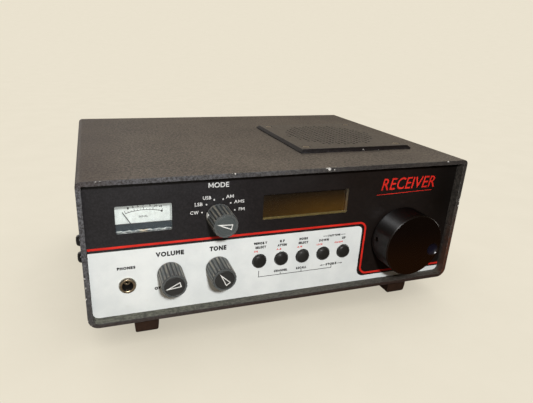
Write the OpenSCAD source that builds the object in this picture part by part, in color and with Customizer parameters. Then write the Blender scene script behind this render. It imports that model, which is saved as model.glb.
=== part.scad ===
// Table-top short-wave communications receiver.
// Frame: origin on the table under the middle of the set, front towards -Y,
// right hand side +X, up +Z. All sizes in millimetres.

/* [Case] */
// Width of the case across the two side walls
case_w = 253; // [251:0.5:256]
// Height of the case without its feet
case_h = 89.7; // [89:0.1:91]
// Depth of the case from front rim to rear rim
case_d = 185; // [180:1:190]
// Thickness of the folded sheet steel covers
sheet = 1.5; // [1.2:0.1:1.6]
// Thickness of the hemmed rim seen round the front panel
rim = 2.8; // [2.4:0.1:3.2]
// Distance of the front panel behind the front rim
panel_recess = 6; // [4:0.5:7]
// Distance of the rear panel in front of the rear rim
rear_recess = 7.5; // [6:0.5:9]
// Outside radius of the two upper long edges
edge_r_top = 3; // [2.9:0.1:4]
// Outside radius of the two lower long edges
edge_r_bottom = 6.5; // [5:0.5:8]
// Height of the joint line between the two covers above the case bottom
seam_h = 40.5; // [39.5:0.5:41.5]
// Height of the feet
foot_h = 15; // [14:0.5:18]

/* [Knobs and buttons] */
// Radius of the tuning knob
tuning_r = 21.65; // [18:0.05:22]
// Distance from panel face to tuning knob face
tuning_reach = 19.1; // [18:0.1:20]
// Radius of the small knobs at their base
knob_r = 7.75; // [7.6:0.05:8]
// Distance from panel face to the front of the small knobs
knob_reach = 17; // [16.5:0.1:18]
// Number of flutes round a small knob
flutes = 20; // [16:1:24]
// Radius of the push buttons
button_r = 4.6; // [4:0.1:5]
// Travel of the push buttons
button_travel = 1; // [0.5:0.1:1]
// Spacing of the push buttons
button_pitch = 15.2; // [13:0.1:15.4]
// Turn of the tuning knob about its shaft at rest
dimple_angle = -15; // [-180:5:180]

/* [Speaker] */
// Radius of the field of holes in the speaker plate
grille_r = 34.5; // [28:0.5:35]
// Radius of one hole in the speaker plate
grille_hole_r = 1.15; // [0.8:0.05:1.5]
// Spacing of the holes in the speaker plate
grille_pitch = 4.4; // [3.8:0.1:7]
// Height of the speaker plate above the top cover
grille_t = 2.6; // [2.4:0.1:3]

/* [Hidden] */
$fn = 48;
e = 0.01;

// case planes
hw = case_w / 2;
z0 = foot_h;
z1 = foot_h + case_h;
yf = -89;
yb = yf + case_d;
yp = yf + panel_recess;      // front face of the printed film
yq = yp + 0.5;               // front face of the metal front panel
yi = yq + 2;                 // rear face of the metal front panel
yr1 = yb - rear_recess;      // outer face of the rear panel
yr0 = yr1 - 1.6;             // inner face of the rear panel
zs = z0 + seam_h;            // joint line of the covers
gap = 0.1;                   // assembly gap round the panels

// control centres on the front panel: [x, z]
vol_c = [-77.8, z0 + 27.6];
ton_c = [-48.1, z0 + 27.6];
mod_c = [-48.1, z0 + 62.2];
tun_c = [83.0, z0 + 35.7];
pho_c = [-102.9, z0 + 22.7];
btn_z = z0 + 28.2;
btn_x = [for (i = [0 : 4]) -20.5 + i * button_pitch];
// windows: [x0, x1, z0, z1]
met_w = [-107.5, -75.8, z0 + 55.8, z0 + 72.4];
lcd_w = [-19.7, 39.5, z0 + 56.4, z0 + 73];
met_c = [-91.65, z0 + 47.5]; // pivot of the meter pointer
// speaker centre on the top cover
spk = [62, -7.5];
spk_ear = 37;
// rear connectors: x of each
ant_x = 88; ant_z = z0 + 50;
trm_x = 46; trm_z = z0 + 50;
ljk_x = [8, -10, -28]; ljk_z = z0 + 44;
dcj_x = -92; dcj_z = z0 + 44;
// fixing points
post = [[-108, -50], [-34, -50], [108, -50], [-108, 76], [0, 76], [108, 76]];
fpost = [[-27, z0 + 12], [49, z0 + 12], [-27, z0 + 78], [49, z0 + 78]];
foot_x = hw - 34.1;
foot_y = [yf + 18.3, yb - 18.3];
side_y = [yf + 25, yb - 25];
side_z = [z0 + 35, z0 + 46];
brd_z = z0 + sheet + 6;      // underside of the main board

// ---------- helpers ----------
// 2D in x,z extruded along Y from a to b
module ext(a, b) { translate([0, b, 0]) rotate([90, 0, 0]) linear_extrude(b - a) children(); }
// 2D in y,z extruded along X from a to b
module extx(a, b) { translate([a, 0, 0]) rotate([90, 0, 90]) linear_extrude(b - a) children(); }
// box from low corner to high corner
module bx(x0, x1, y0, y1, z0, z1) { translate([x0, y0, z0]) cube([x1 - x0, y1 - y0, z1 - z0]); }
// cylinder along Y
module cy(c, r, a, b, fn = 48) { translate([c[0], b, c[1]]) rotate([90, 0, 0]) cylinder(r = r, h = b - a, $fn = fn); }
// cylinder along X
module cx(y, z, r, a, b, fn = 32) { translate([a, y, z]) rotate([0, 90, 0]) cylinder(r = r, h = b - a, $fn = fn); }
// cylinder along Z
module cz(x, y, r, a, b, fn = 32) { translate([x, y, a]) cylinder(r = r, h = b - a, $fn = fn); }
// body of revolution in front of the panel, profile is [radius, distance in front of the film]
module turn(c, fn = 64) { translate([c[0], yp, c[1]]) rotate([90, 0, 0]) rotate_extrude($fn = fn) children(); }
// rounded rectangle
module rr(x0, x1, y0, y1, r) {
  union() {
    translate([x0 + r, y0]) square([x1 - x0 - 2 * r, y1 - y0]);
    translate([x0, y0 + r]) square([x1 - x0, y1 - y0 - 2 * r]);
    for (x = [x0 + r, x1 - r], y = [y0 + r, y1 - r]) translate([x, y]) circle(r = r, $fn = 32);
  }
}
// outline of the case inset by d
module case2d(d) {
  a = max(edge_r_top - d, 0.8);
  b = max(edge_r_bottom - d, 0.8);
  w = hw - d;
  lo = z0 + d;
  hi = z1 - d;
  union() {
    translate([-w + b, lo]) square([2 * (w - b), hi - lo]);
    translate([-w + a, lo + b]) square([2 * (w - a), hi - lo - b]);
    translate([-w, lo + b]) square([2 * w, hi - lo - a - b]);
    for (s = [-1, 1]) {
      translate([s * (w - b), lo + b]) circle(r = b, $fn = 48);
      translate([s * (w - a), hi - a]) circle(r = a, $fn = 48);
    }
  }
}
// points of an arc
function arc(cx, cy, r, a0, a1, n) = [for (i = [0 : n]) let (t = a0 + (a1 - a0) * i / n) [cx + r * cos(t), cy + r * sin(t)]];
// hexagon nut along Y
module nut_y(c, af, bore, a, b) {
  difference() {
    cy(c, af / 2 / cos(30), a, b, 6);
    cy(c, bore, a - 1, b + 1);
  }
}
// pan head with a cross recess, along +Z, head underside at z = 0
module pan(r, h, shank_r, shank_l) {
  difference() {
    union() {
      rotate_extrude($fn = 40) polygon([[0, 0], [r, 0], [r, h * 0.45], [r * 0.86, h * 0.78], [r * 0.55, h * 0.95], [0, h]]);
      translate([0, 0, -shank_l]) cylinder(r = shank_r, h = shank_l + e, $fn = 24);
    }
    for (t = [0, 90]) rotate([0, 0, t]) translate([-r * 0.55, -r * 0.11, h * 0.35]) cube([r * 1.1, r * 0.22, h]);
  }
}

// ---------- covers ----------
module shell() {
  difference() {
    union() {
      difference() {
        ext(yf, yb) case2d(0);
        ext(yf - 1, yb + 1) case2d(sheet);
      }
      difference() {
        ext(yf, yp) case2d(sheet - 0.5);
        ext(yf - 1, yp + 1) case2d(rim);
      }
      difference() {
        ext(yr1, yb) case2d(sheet - 0.5);
        ext(yr1 - 1, yb + 1) case2d(rim);
      }
    }
    // side screw holes
    for (s = [-1, 1], y = side_y, z = side_z) cx(y, z, 1.7, s * hw - 4, s * hw + 4);
  }
}
module top_cover() {
  color([0.33, 0.31, 0.29])
  difference() {
    intersection() {
      shell();
      bx(-hw - 5, hw + 5, yf - 5, yb + 5, zs + gap, z1 + 5);
    }
    cz(spk[0], spk[1], 35, z1 - 5, z1 + 5, 72);
    for (s = [-1, 1], t = [-1, 1]) cz(spk[0] + s * spk_ear, spk[1] + t * spk_ear, 1.7, z1 - 5, z1 + 5);
  }
}
module bottom_cover() {
  color([0.30, 0.29, 0.28])
  difference() {
    intersection() {
      shell();
      bx(-hw - 5, hw + 5, yf - 5, yb + 5, z0 - 5, zs - gap);
    }
    for (s = [-1, 1], y = foot_y) cz(s * foot_x, y, 1.75, z0 - 5, z0 + 5);
    // row of cooling slots under the board
    for (i = [0 : 8]) ext2z() translate([-48 + i * 12, 0]) rr(-1.5, 1.5, -20, 20, 1.4);
  }
}
module ext2z() { translate([0, 20, z0 - 2]) linear_extrude(6) children(); }

// ---------- front panel ----------
module panel_cuts(d) {
  translate([vol_c[0], vol_c[1]]) circle(r = 3.6 + d);
  translate([ton_c[0], ton_c[1]]) circle(r = 3.6 + d);
  translate([mod_c[0], mod_c[1]]) circle(r = 3.6 + d);
  translate([tun_c[0], tun_c[1]]) circle(r = 4.6 + d);
  translate([pho_c[0], pho_c[1]]) circle(r = 4.6 + d);
  for (x = btn_x) translate([x, btn_z]) circle(r = button_r + 0.15);
  rr(met_w[0], met_w[1], met_w[2], met_w[3], 0.8);
  rr(lcd_w[0], lcd_w[1], lcd_w[2], lcd_w[3], 0.8);
}
fps = [[-117, z0 + 17], [-117, z0 + 75], [117, z0 + 17], [117, z0 + 75]];
module front_panel() {
  color([0.62, 0.63, 0.64])
  difference() {
    ext(yq, yi) difference() {
      case2d(sheet + gap);
      panel_cuts(0);
    }
    for (p = fps) {
      cy(p, 1.6, yq - 1, yi + 1, 24);
      translate([p[0], yq - e, p[1]]) rotate([-90, 0, 0]) cylinder(r1 = 3.1, r2 = 1.6, h = 1.5, $fn = 32);
    }
  }
}
module front_overlay() {
  color([0.09, 0.085, 0.08])
  ext(yp, yq) difference() {
    case2d(sheet + gap);
    panel_cuts(0.1);
  }
}
module rear_panel() {
  color([0.20, 0.20, 0.20])
  difference() {
    ext(yr0, yr1) difference() {
      case2d(sheet + gap);
      translate([ant_x, ant_z]) circle(r = 8.1);
      for (a = [45 : 90 : 315]) translate([ant_x + 12.73 * cos(a), ant_z + 12.73 * sin(a)]) circle(r = 1.7, $fn = 24);
      translate([trm_x, trm_z]) rr(-15, 15, -9, 9, 0.5);
      for (s = [-1, 1]) translate([trm_x + s * 20, trm_z]) circle(r = 1.7, $fn = 24);
      for (x = ljk_x) translate([x, ljk_z]) circle(r = 3.1);
      translate([dcj_x, dcj_z]) circle(r = 5.6);
    }
    for (p = fps) cy(p, 1.7, yr0 - 1, yr1 + 1, 24);
  }
}
module side_rails() {
  color([0.70, 0.71, 0.72])
  for (s = [-1, 1]) mirror([s < 0 ? 1 : 0, 0, 0])
    difference() {
      union() {
        bx(hw - 3.2, hw - sheet - gap, yi, yr0, z0 + 9, z1 - 8);
        bx(hw - 14.5, hw - 3.1, yi, yi + 1.6, z0 + 9, z1 - 8);
        bx(hw - 14.5, hw - 3.1, yr0 - 1.6, yr0, z0 + 9, z1 - 8);
      }
      for (y = side_y, z = side_z) cx(y, z, 1.55, hw - 8, hw + 2);
      for (z = [z0 + 17, z0 + 75]) {
        cy([117, z], 1.55, yi - 1, yi + 4, 24);
        cy([117, z], 1.55, yr0 - 4, yr0 + 1, 24);
      }
      // lightening windows along the web
      for (y = [-30, 3.5, 37]) extx(hw - 6, hw + 2) rr(y - 12, y + 12, z0 + 20, z0 + 70, 4);
    }
}
module chassis_screws() {
  color([0.72, 0.72, 0.70]) {
    // countersunk screws under the film
    for (p = fps) translate([p[0], yq, p[1]]) rotate([-90, 0, 0]) difference() {
      union() {
        cylinder(r1 = 3.0, r2 = 1.5, h = 1.5, $fn = 32);
        cylinder(r = 1.5, h = 6, $fn = 24);
      }
      for (t = [0, 90]) rotate([0, 0, t]) translate([-1.4, -0.3, -1]) cube([2.8, 0.6, 1.7]);
    }
    // rear panel screws
    for (p = fps) translate([p[0], yr1, p[1]]) rotate([-90, 0, 0]) pan(2.8, 2, 1.5, 5);
    // socket flange screws
    for (a = [45 : 90 : 315]) translate([ant_x + 12.73 * cos(a), yr1 + 1.6, ant_z + 12.73 * sin(a)]) rotate([-90, 0, 0]) pan(2.6, 1.8, 1.5, 6.5);
    // terminal block screws
    for (s = [-1, 1]) translate([trm_x + s * 20, yr1 + 1.8, trm_z]) rotate([-90, 0, 0]) pan(2.6, 1.8, 1.5, 6.5);
    // board screws
    for (p = fpost) translate([p[0], -70.4, p[1]]) rotate([-90, 0, 0]) pan(2.5, 1.8, 1.45, 6);
    for (p = post) translate([p[0], p[1], brd_z + 1.6]) pan(2.8, 2, 1.5, 6);
  }
}
module case_screws() {
  color([0.07, 0.07, 0.07])
  for (s = [-1, 1], y = side_y, z = side_z)
    translate([s * hw, y, z]) rotate([0, s * 90, 0]) pan(3.5, 3.4, 1.5, 6);
}

// ---------- feet ----------
// rounded, slightly tapered side view, standing on z = 0
function foot_pts(w) = concat([[w, foot_h]], [[-w, foot_h]],
  arc(-w + 4, 3, 3, 186, 270, 9), arc(w - 4, 3, 3, 270, 354, 9));
module feet() {
  color([0.10, 0.085, 0.075])
  for (s = [-1, 1], y = foot_y) translate([s * foot_x, y, 0]) difference() {
    intersection() {
      ext(-11, 11) polygon(foot_pts(8.15));
      extx(-9, 9) polygon(foot_pts(10));
      translate([0, 0, -1]) linear_extrude(foot_h + 2) rr(-8.15, 8.15, -10, 10, 2.5);
    }
    cz(0, 0, 3.0, -1, 9, 40);
    cz(0, 0, 1.75, -1, foot_h + 1);
  }
}
module foot_screws() {
  color([0.70, 0.70, 0.68])
  for (s = [-1, 1], y = foot_y) translate([s * foot_x, y, 0]) {
    translate([0, 0, 9]) rotate([180, 0, 0]) pan(2.7, 2.2, 1.5, 11);
    difference() {
      cz(0, 0, 3.18, z0 + sheet, z0 + sheet + 2.4, 6);
      cz(0, 0, 1.53, z0, z0 + 6, 24);
    }
  }
}

// ---------- speaker ----------
function hexgrid(p, n) = [for (i = [-n : n], j = [-n : n]) [j * p * 0.8660254, i * p + (abs(j) % 2) * p / 2]];
module speaker_grille() {
  color([0.36, 0.34, 0.32])
  translate([spk[0], spk[1], z1]) difference() {
    translate([-44.5, -45.5, 0]) cube([89, 91, grille_t]);
    // sloping borders
    for (t = [0, 180]) rotate([0, 0, t]) {
      translate([44.5, -60, 0.8]) rotate([0, -48, 0]) cube([8, 120, 8]);
      translate([-60, 45.5, 0.8]) rotate([48, 0, 0]) cube([120, 8, 8]);
    }
    for (p = hexgrid(grille_pitch, 10)) if (norm(p) < grille_r) translate([p[0], p[1], -1]) cylinder(r = grille_hole_r, h = grille_t + 2, $fn = 16);
    for (s = [-1, 1], t = [-1, 1]) translate([s * spk_ear, t * spk_ear, 0]) {
      translate([0, 0, -1]) cylinder(r = 1.7, h = 5, $fn = 24);
      translate([0, 0, 1.4]) cylinder(r = 3.1, h = 5, $fn = 32);
    }
  }
}
module grille_screws() {
  color([0.62, 0.60, 0.56])
  for (s = [-1, 1], t = [-1, 1]) translate([spk[0] + s * spk_ear, spk[1] + t * spk_ear, z1]) {
    translate([0, 0, 1.4]) pan(2.8, 1.5, 1.45, 7.6);
    difference() {
      cz(0, 0, 3.18, -5.1, -2.7, 6);
      cz(0, 0, 1.48, -8, 0, 24);
    }
  }
}
zf = z1 - sheet;  // underside of the top cover sheet
module speaker_frame() {
  color([0.25, 0.25, 0.26])
  translate([spk[0], spk[1], zf]) difference() {
    union() {
      difference() {
        translate([0, 0, -1.2]) linear_extrude(1.2) rr(-41, 41, -41, 41, 5);
        translate([0, 0, -3]) cylinder(r = 36, h = 5, $fn = 72);
      }
      // pressed steel basket
      rotate_extrude($fn = 72) polygon([[35.2, 0], [36, 0], [36, -3.2], [19, -16], [19, -17.2], [8.6, -17.2], [8.6, -16.2], [18.4, -16.2], [35.2, -2.8]]);
    }
    for (s = [-1, 1], t = [-1, 1]) translate([s * spk_ear, t * spk_ear, -3]) cylinder(r = 1.7, h = 5, $fn = 24);
    for (a = [0 : 60 : 300]) rotate([0, 0, a]) translate([27, 0, -20]) linear_extrude(17) rr(-4.5, 4.5, -7, 7, 2);
  }
}
module speaker_magnet() {
  color([0.20, 0.20, 0.21])
  translate([spk[0], spk[1], zf]) {
    // front plate, ring magnet and pole piece
    rotate_extrude($fn = 64) polygon([[8.6, -17.2], [17, -17.2], [17, -19.2], [18, -19.2], [18, -27.5], [17, -27.5], [17, -29.5], [0, -29.5], [0, -17.4], [7.6, -17.4], [7.6, -27.5], [10.5, -27.5], [10.5, -19.2], [8.6, -19.2]]);
  }
}
module speaker_surround() {
  color([0.13, 0.13, 0.13])
  translate([spk[0], spk[1], zf]) rotate_extrude($fn = 72)
    polygon(concat([[35.1, -2.6], [35.1, -2.0], [34.2, -2.0]], arc(31.9, -2.0, 2.3, 0, 180, 12), [[29.3, -2.0], [29.3, -2.6], [30.2, -2.6]],
      arc(31.9, -2.6, 1.7, 180, 0, 12), [[34.2, -2.6]]));
}
module speaker_cone() {
  color([0.22, 0.21, 0.20])
  translate([spk[0], spk[1], zf]) rotate_extrude($fn = 72)
    polygon(concat([[29.1, -2.0], [29.1, -2.7], [28.4, -3.1], [9.0, -14.9], [8.35, -15.2], [8.35, -24.5], [8.0, -24.5], [8.0, -14.2]],
      [for (i = [1 : 8]) let (r = 8 - i) [r, -11.9 - 2.3 * r * r / 64]],
      [for (i = [0 : 9]) let (r = i * 9.2 / 9) [r, -11.3 - 2.6 * r * r / 84.64]], [[28.4, -2.2]]));
}

// ---------- boards ----------
module main_board() {
  color([0.08, 0.32, 0.16])
  difference() {
    bx(-116, 116, -58, 82, brd_z, brd_z + 1.6);
    for (p = post) cz(p[0], p[1], 1.7, brd_z - 1, brd_z + 3);
  }
}
module board_standoffs() {
  color([0.80, 0.70, 0.40])
  {
    for (p = post) difference() {
      cz(p[0], p[1], 3.2, z0 + sheet, brd_z, 6);
      cz(p[0], p[1], 1.55, z0 + sheet + 0.5, brd_z + 1, 24);
    }
    for (p = fpost) difference() {
      cy(p, 2.5, yi, -72, 6);
      cy(p, 1.5, -78, -71, 24);
    }
  }
}
module front_board() {
  color([0.08, 0.32, 0.16])
  difference() {
    bx(-30, 52, -72, -70.4, z0 + 9, z0 + 82);
    for (p = fpost) cy(p, 1.6, -73, -69, 24);
  }
}
module can(x, y, w, h) {
  difference() {
    bx(x - w / 2, x + w / 2, y - w / 2, y + w / 2, brd_z + 1.6, brd_z + 1.6 + h);
    cz(x, y, w * 0.28, brd_z + h - 1, brd_z + h + 3, 20);
  }
}
module filter_cans() {
  color([0.75, 0.75, 0.74]) {
    for (i = [0 : 4]) can(-92 + i * 13, 58, 9, 13);
    for (i = [0 : 2]) can(-92 + i * 13, 42, 7.5, 11);
    for (i = [0 : 1]) bx(-48 + i * 24, -30 + i * 24, 36, 48, brd_z + 1.6, brd_z + 13);
  }
}
module shield_can() {
  color([0.78, 0.78, 0.76]) {
    difference() {
      bx(-60, 0, -30, 22, brd_z + 1.6, brd_z + 22);
      bx(-59.2, -0.8, -29.2, 21.2, brd_z + 1, brd_z + 21.2);
      for (i = [0 : 5], j = [0 : 2]) cz(-50 + i * 8, -16 + j * 12, 1.6, brd_z + 18, brd_z + 24, 20);
    }
  }
}
module elco(x, y, r, h) {
  cz(x, y, r, brd_z + 1.6, brd_z + 1.6 + h, 32);
}
module capacitors() {
  color([0.12, 0.18, 0.42]) {
    elco(-96, 10, 8, 24);
    elco(-78, 10, 8, 24);
    elco(-96, -10, 5, 14);
    elco(-82, -10, 5, 14);
    elco(20, 50, 4, 11);
    elco(32, 50, 4, 11);
    elco(94, 44, 6.3, 18);
  }
}
module dip(x, y, n) {
  l = n * 2.54;
  z = brd_z + 1.6;
  difference() {
    bx(x - l / 2, x + l / 2, y - 3.2, y + 3.2, z + 0.8, z + 4);
    translate([x - l / 2, y, z + 3.2]) cylinder(r = 1.1, h = 3, $fn = 20);
  }
  for (i = [0 : n - 1], s = [-1, 1]) bx(x - l / 2 + 0.9 + i * 2.54, x - l / 2 + 1.6 + i * 2.54, y + s * 3.5 - 0.3, y + s * 3.5 + 0.3, z, z + 2.4);
}
module chips() {
  color([0.06, 0.06, 0.065]) {
    dip(18, 24, 8);
    dip(18, 8, 8);
    dip(50, 24, 7);
    dip(50, 8, 10);
    dip(90, 8, 8);
    dip(90, 22, 4);
  }
}
module ribbon_cable() {
  color([0.55, 0.56, 0.60]) {
    // flat cable: from the front board back and down to the main board
    translate([-2, 0, 0]) extx(0, 26) {
      difference() {
        polygon(concat([[-66.4, z0 + 30]], arc(-56, z0 + 30 - 9, 9, 90, 0, 10), [[-47, brd_z + 6.5], [-47.9, brd_z + 6.5]],
          arc(-56, z0 + 30 - 9, 8.1, 0, 90, 10), [[-66.4, z0 + 29.1]]));
      }
    }
    // plug halves
    bx(-4, 26, -70.4, -66.4, z0 + 26.5, z0 + 32.5);
    bx(-4, 26, -50.4, -44.4, brd_z + 1.6, brd_z + 6.5);
  }
}

// ---------- meter ----------
module meter_case() {
  color([0.10, 0.11, 0.13]) {
    difference() {
      bx(-110, -73.3, yi, -58, z0 + 36, z0 + 75);
      bx(-108.5, -74.8, yi - 1, -59.5, z0 + 37.5, z0 + 73.5);
    }
    // cover over the movement, in front of the pivot
    bx(-108.5, -74.8, yi + 1.2, yi + 2.2, z0 + 37.5, z0 + 60);
  }
}
module meter_window() {
  color([0.80, 0.86, 0.88, 0.35])
  union() {
    ext(yp + 0.1, yi) rr(met_w[0] + 0.1, met_w[1] - 0.1, met_w[2] + 0.1, met_w[3] - 0.1, 0.7);
    ext(yi, yi + 0.9) rr(met_w[0] - 0.8, met_w[1] + 0.8, met_w[2] - 0.8, met_w[3] + 0.9, 0.7);
  }
}
module meter_scale() {
  color([0.93, 0.93, 0.90])
  difference() {
    bx(-108.2, -75.1, yi + 5.0, yi + 5.8, z0 + 38, z0 + 73.2);
    cy(met_c, 2.6, yi + 4, yi + 7, 32);
  }
}
module meter_magnet() {
  color([0.45, 0.46, 0.48])
  ext(-73, -64.8) translate(met_c) {
    difference() {
      circle(r = 9.6);
      circle(r = 6.3);
    }
    difference() {
      circle(r = 4);
      circle(r = 1.2, $fn = 24);
    }
    for (s = [-1, 1]) translate([-1, s * 5.15 - 1.45]) square([2, 2.9]);
  }
}
needle_a = 121; // rest direction of the needle
needle_l = 22.3;
module meter_pointer() {
  color([0.05, 0.05, 0.05])
  translate([met_c[0], 0, met_c[1]]) rotate([0, -(needle_a - 90), 0]) {
    // needle, balance tail and hub
    bx(-0.2, 0.2, yi + 3.2, yi + 3.5, 1.0, needle_l);
    bx(-0.6, 0.6, yi + 3.2, yi + 3.6, -4.5, 0);
    cy([0, 0], 1.5, yi + 2.7, yi + 4.2, 24);
    cy([0, 0], 0.7, yi + 4.1, -62.6, 20);
    // moving coil round the core
    difference() {
      bx(-5.6, 5.6, -74.3, -63.6, -1.1, 1.1);
      bx(-4.6, 4.6, -73.5, -64.4, -2, 2);
      cy([0, 0], 1.19, -73.6, -64.3, 24);
    }
  }
}

// ---------- display ----------
module display_window() {
  color([0.16, 0.10, 0.05, 0.55])
  ext(yp + 0.1, yi) rr(lcd_w[0] + 0.1, lcd_w[1] - 0.1, lcd_w[2] + 0.1, lcd_w[3] - 0.1, 0.7);
}
module lcd_module() {
  color([0.35, 0.33, 0.24])
  difference() {
    bx(-24, 44, yi + 0.1, -72, z0 + 53, z0 + 77);
    bx(-19, 38.8, yi - 1, yi + 1.1, z0 + 57, z0 + 72.5);
  }
}

// ---------- controls behind the panel ----------
module pot(c, sw) {
  difference() {
    union() {
      bx(c[0] - 8, c[0] + 8, yi, yi + 10, c[1] - 8, c[1] + 8);
      cy(c, 3.5, yp - 3, yi + e);
      for (i = [-1 : 1]) bx(c[0] + i * 5 - 0.6, c[0] + i * 5 + 0.6, yi + 3.5, yi + 3.9, c[1] - 13, c[1] - 7.9);
      if (sw) bx(c[0] - 7, c[0] + 7, yi + 9.9, yi + 16, c[1] - 6, c[1] + 6);
    }
    cy(c, 3.05, yp - 4, yi + 2);
    cy(c, 6.8, yi + 1.5, yi + 8.5);
  }
}
module control_pots() {
  color([0.55, 0.56, 0.57]) {
    pot(vol_c, true);
    pot(ton_c, false);
  }
}
module mode_switch() {
  color([0.62, 0.50, 0.30])
  difference() {
    union() {
      cy(mod_c, 12.5, yi, yi + 15);
      cy(mod_c, 3.5, yp - 3, yi + e);
      for (a = [0 : 30 : 330]) translate([mod_c[0] + 14 * cos(a), yi + 9, mod_c[1] + 14 * sin(a)]) rotate([0, -a, 0]) cube([4.6, 0.5, 1.4], center = true);
    }
    cy(mod_c, 3.05, yp - 4, yi + 3);
    cy(mod_c, 10.8, yi + 2.5, yi + 12.5);
  }
}
module tuning_encoder() {
  color([0.15, 0.15, 0.16])
  difference() {
    union() {
      ext(yi, yi + 22) rr(tun_c[0] - 16, tun_c[0] + 16, tun_c[1] - 16, tun_c[1] + 16, 3);
      cy(tun_c, 4.5, yp - 3.4, yi + e);
    }
    cy(tun_c, 3.05, yp - 5, yi + 5);
    cy(tun_c, 14, yi + 3, yi + 19);
  }
}
module panel_nuts() {
  color([0.62, 0.55, 0.42]) {
    nut_y(vol_c, 10, 3.53, yp - 2, yp);
    nut_y(ton_c, 10, 3.53, yp - 2, yp);
    nut_y(mod_c, 10, 3.53, yp - 2, yp);
    nut_y(tun_c, 12, 4.53, yp - 2.2, yp);
    // round ring nut of the headphone jack
    difference() {
      turn(pho_c) polygon([[3.6, 0], [5.15, 0], [5.15, 0.7], [4.75, 1.25], [4.53, 1.25], [4.53, 0.4], [3.6, 0.4]]);
      cy(pho_c, 4.53, yp - 3, yp + 1);
    }
    for (x = ljk_x) nut_y([x, ljk_z], 8, 3.03, yr1, yr1 + 2);
    nut_y([dcj_x, dcj_z], 14, 5.53, yr1, yr1 + 2);
  }
}
module button_switches() {
  color([0.20, 0.20, 0.20])
  for (x = btn_x) {
    bx(x - 3, x + 3, -75.4, -72, btn_z - 3, btn_z + 3);
    cy([x, btn_z], 1.7, yi + 2.5 + button_travel + 0.1, -75.4, 24);
  }
}

// ---------- sockets ----------
module phones_jack() {
  color([0.16, 0.15, 0.14])
  difference() {
    union() {
      bx(pho_c[0] - 7, pho_c[0] + 7, yi, yi + 25, pho_c[1] - 7, pho_c[1] + 7);
      cy(pho_c, 4.5, yp - 1.3, yi + e);
    }
    cy(pho_c, 3.25, yp - 3, yi + 22);
  }
}
module antenna_socket() {
  color([0.72, 0.72, 0.70])
  translate([ant_x, yr1, ant_z]) rotate([-90, 0, 0]) {
    // flange and threaded barrel
    difference() {
      union() {
        linear_extrude(1.6) difference() {
          rr(-12.7, 12.7, -12.7, 12.7, 1.5);
          for (a = [45 : 90 : 315]) translate([12.73 * cos(a), 12.73 * sin(a)]) circle(r = 1.7, $fn = 24);
        }
        cylinder(r = 7.94, h = 13.6, $fn = 72);
        translate([0, 0, -4]) cylinder(r = 7.9, h = 4.1, $fn = 72);
      }
      translate([0, 0, 3]) cylinder(r = 6.2, h = 20, $fn = 48);
      translate([0, 0, -6]) cylinder(r = 3, h = 30, $fn = 32);
    }
    // insulator and centre contact
    difference() {
      union() {
        translate([0, 0, 3]) cylinder(r = 5.6, h = 8.6, $fn = 48);
        translate([0, 0, -5]) cylinder(r = 3, h = 8.1, $fn = 32);
      }
      translate([0, 0, -2]) cylinder(r = 2.0, h = 20, $fn = 32);
    }
  }
}
module terminal_block() {
  color([0.12, 0.12, 0.12])
  translate([trm_x, yr1, trm_z]) difference() {
    union() {
      ext(0, 1.8) difference() {
        rr(-24, 24, -11, 11, 2);
        for (s = [-1, 1]) translate([s * 20, 0]) circle(r = 1.7, $fn = 24);
      }
      bx(-14.8, 14.8, -14, 0.1, -8.8, 8.8);
    }
    for (s = [-1, 1]) translate([s * 7.4, 0, 0]) {
      // cavity of the sprung lever and the wire entry below it
      bx(-5, 5, -11, 3, -1.5, 7.5);
      cy([0, -5], 1.9, -10, 3, 24);
      cx(-7.75, 0.5, 0.86, -5.7, 5.7, 24);
    }
  }
}
module lever(x) {
  translate([x, yr1, trm_z]) {
    difference() {
      union() {
        // finger tab
        bx(-4.6, 4.6, -7.5, 5.4, 3.1, 5.2);
        bx(-4.6, 4.6, -9.0, -6.5, -0.6, 5.2);
        bx(-4.6, 4.6, 3.6, 5.4, 2.0, 6.0);
        // pivot pin
        cx(-7.75, 0.5, 0.8, -5.5, 5.5, 24);
      }
      for (i = [0 : 2]) bx(-5, 5, 0.6 + i * 1.3, 1.1 + i * 1.3, 4.9, 6);
    }
  }
}
module terminal_lever_aerial() { color([0.70, 0.10, 0.08]) lever(trm_x + 7.4); }
module terminal_lever_ground() { color([0.08, 0.08, 0.08]) lever(trm_x - 7.4); }
module line_jacks() {
  color([0.14, 0.14, 0.14])
  for (x = ljk_x) difference() {
    union() {
      bx(x - 4.5, x + 4.5, yr0 - 13, yr0, ljk_z - 5, ljk_z + 5);
      cy([x, ljk_z], 3, yr0 - e, yr1 + 3);
    }
    cy([x, ljk_z], 1.8, yr0 - 11, yr1 + 4);
  }
}
module dc_jack() {
  color([0.12, 0.12, 0.12])
  difference() {
    union() {
      difference() {
        union() {
          cy([dcj_x, dcj_z], 7, yr0 - 10, yr0);
          cy([dcj_x, dcj_z], 5.5, yr0 - e, yr1 + 3);
        }
        cy([dcj_x, dcj_z], 2.8, yr0 - 8, yr1 + 4, 32);
      }
      cy([dcj_x, dcj_z], 1.05, yr0 - 9, yr1 + 1.5, 24);
    }
  }
}

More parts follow.
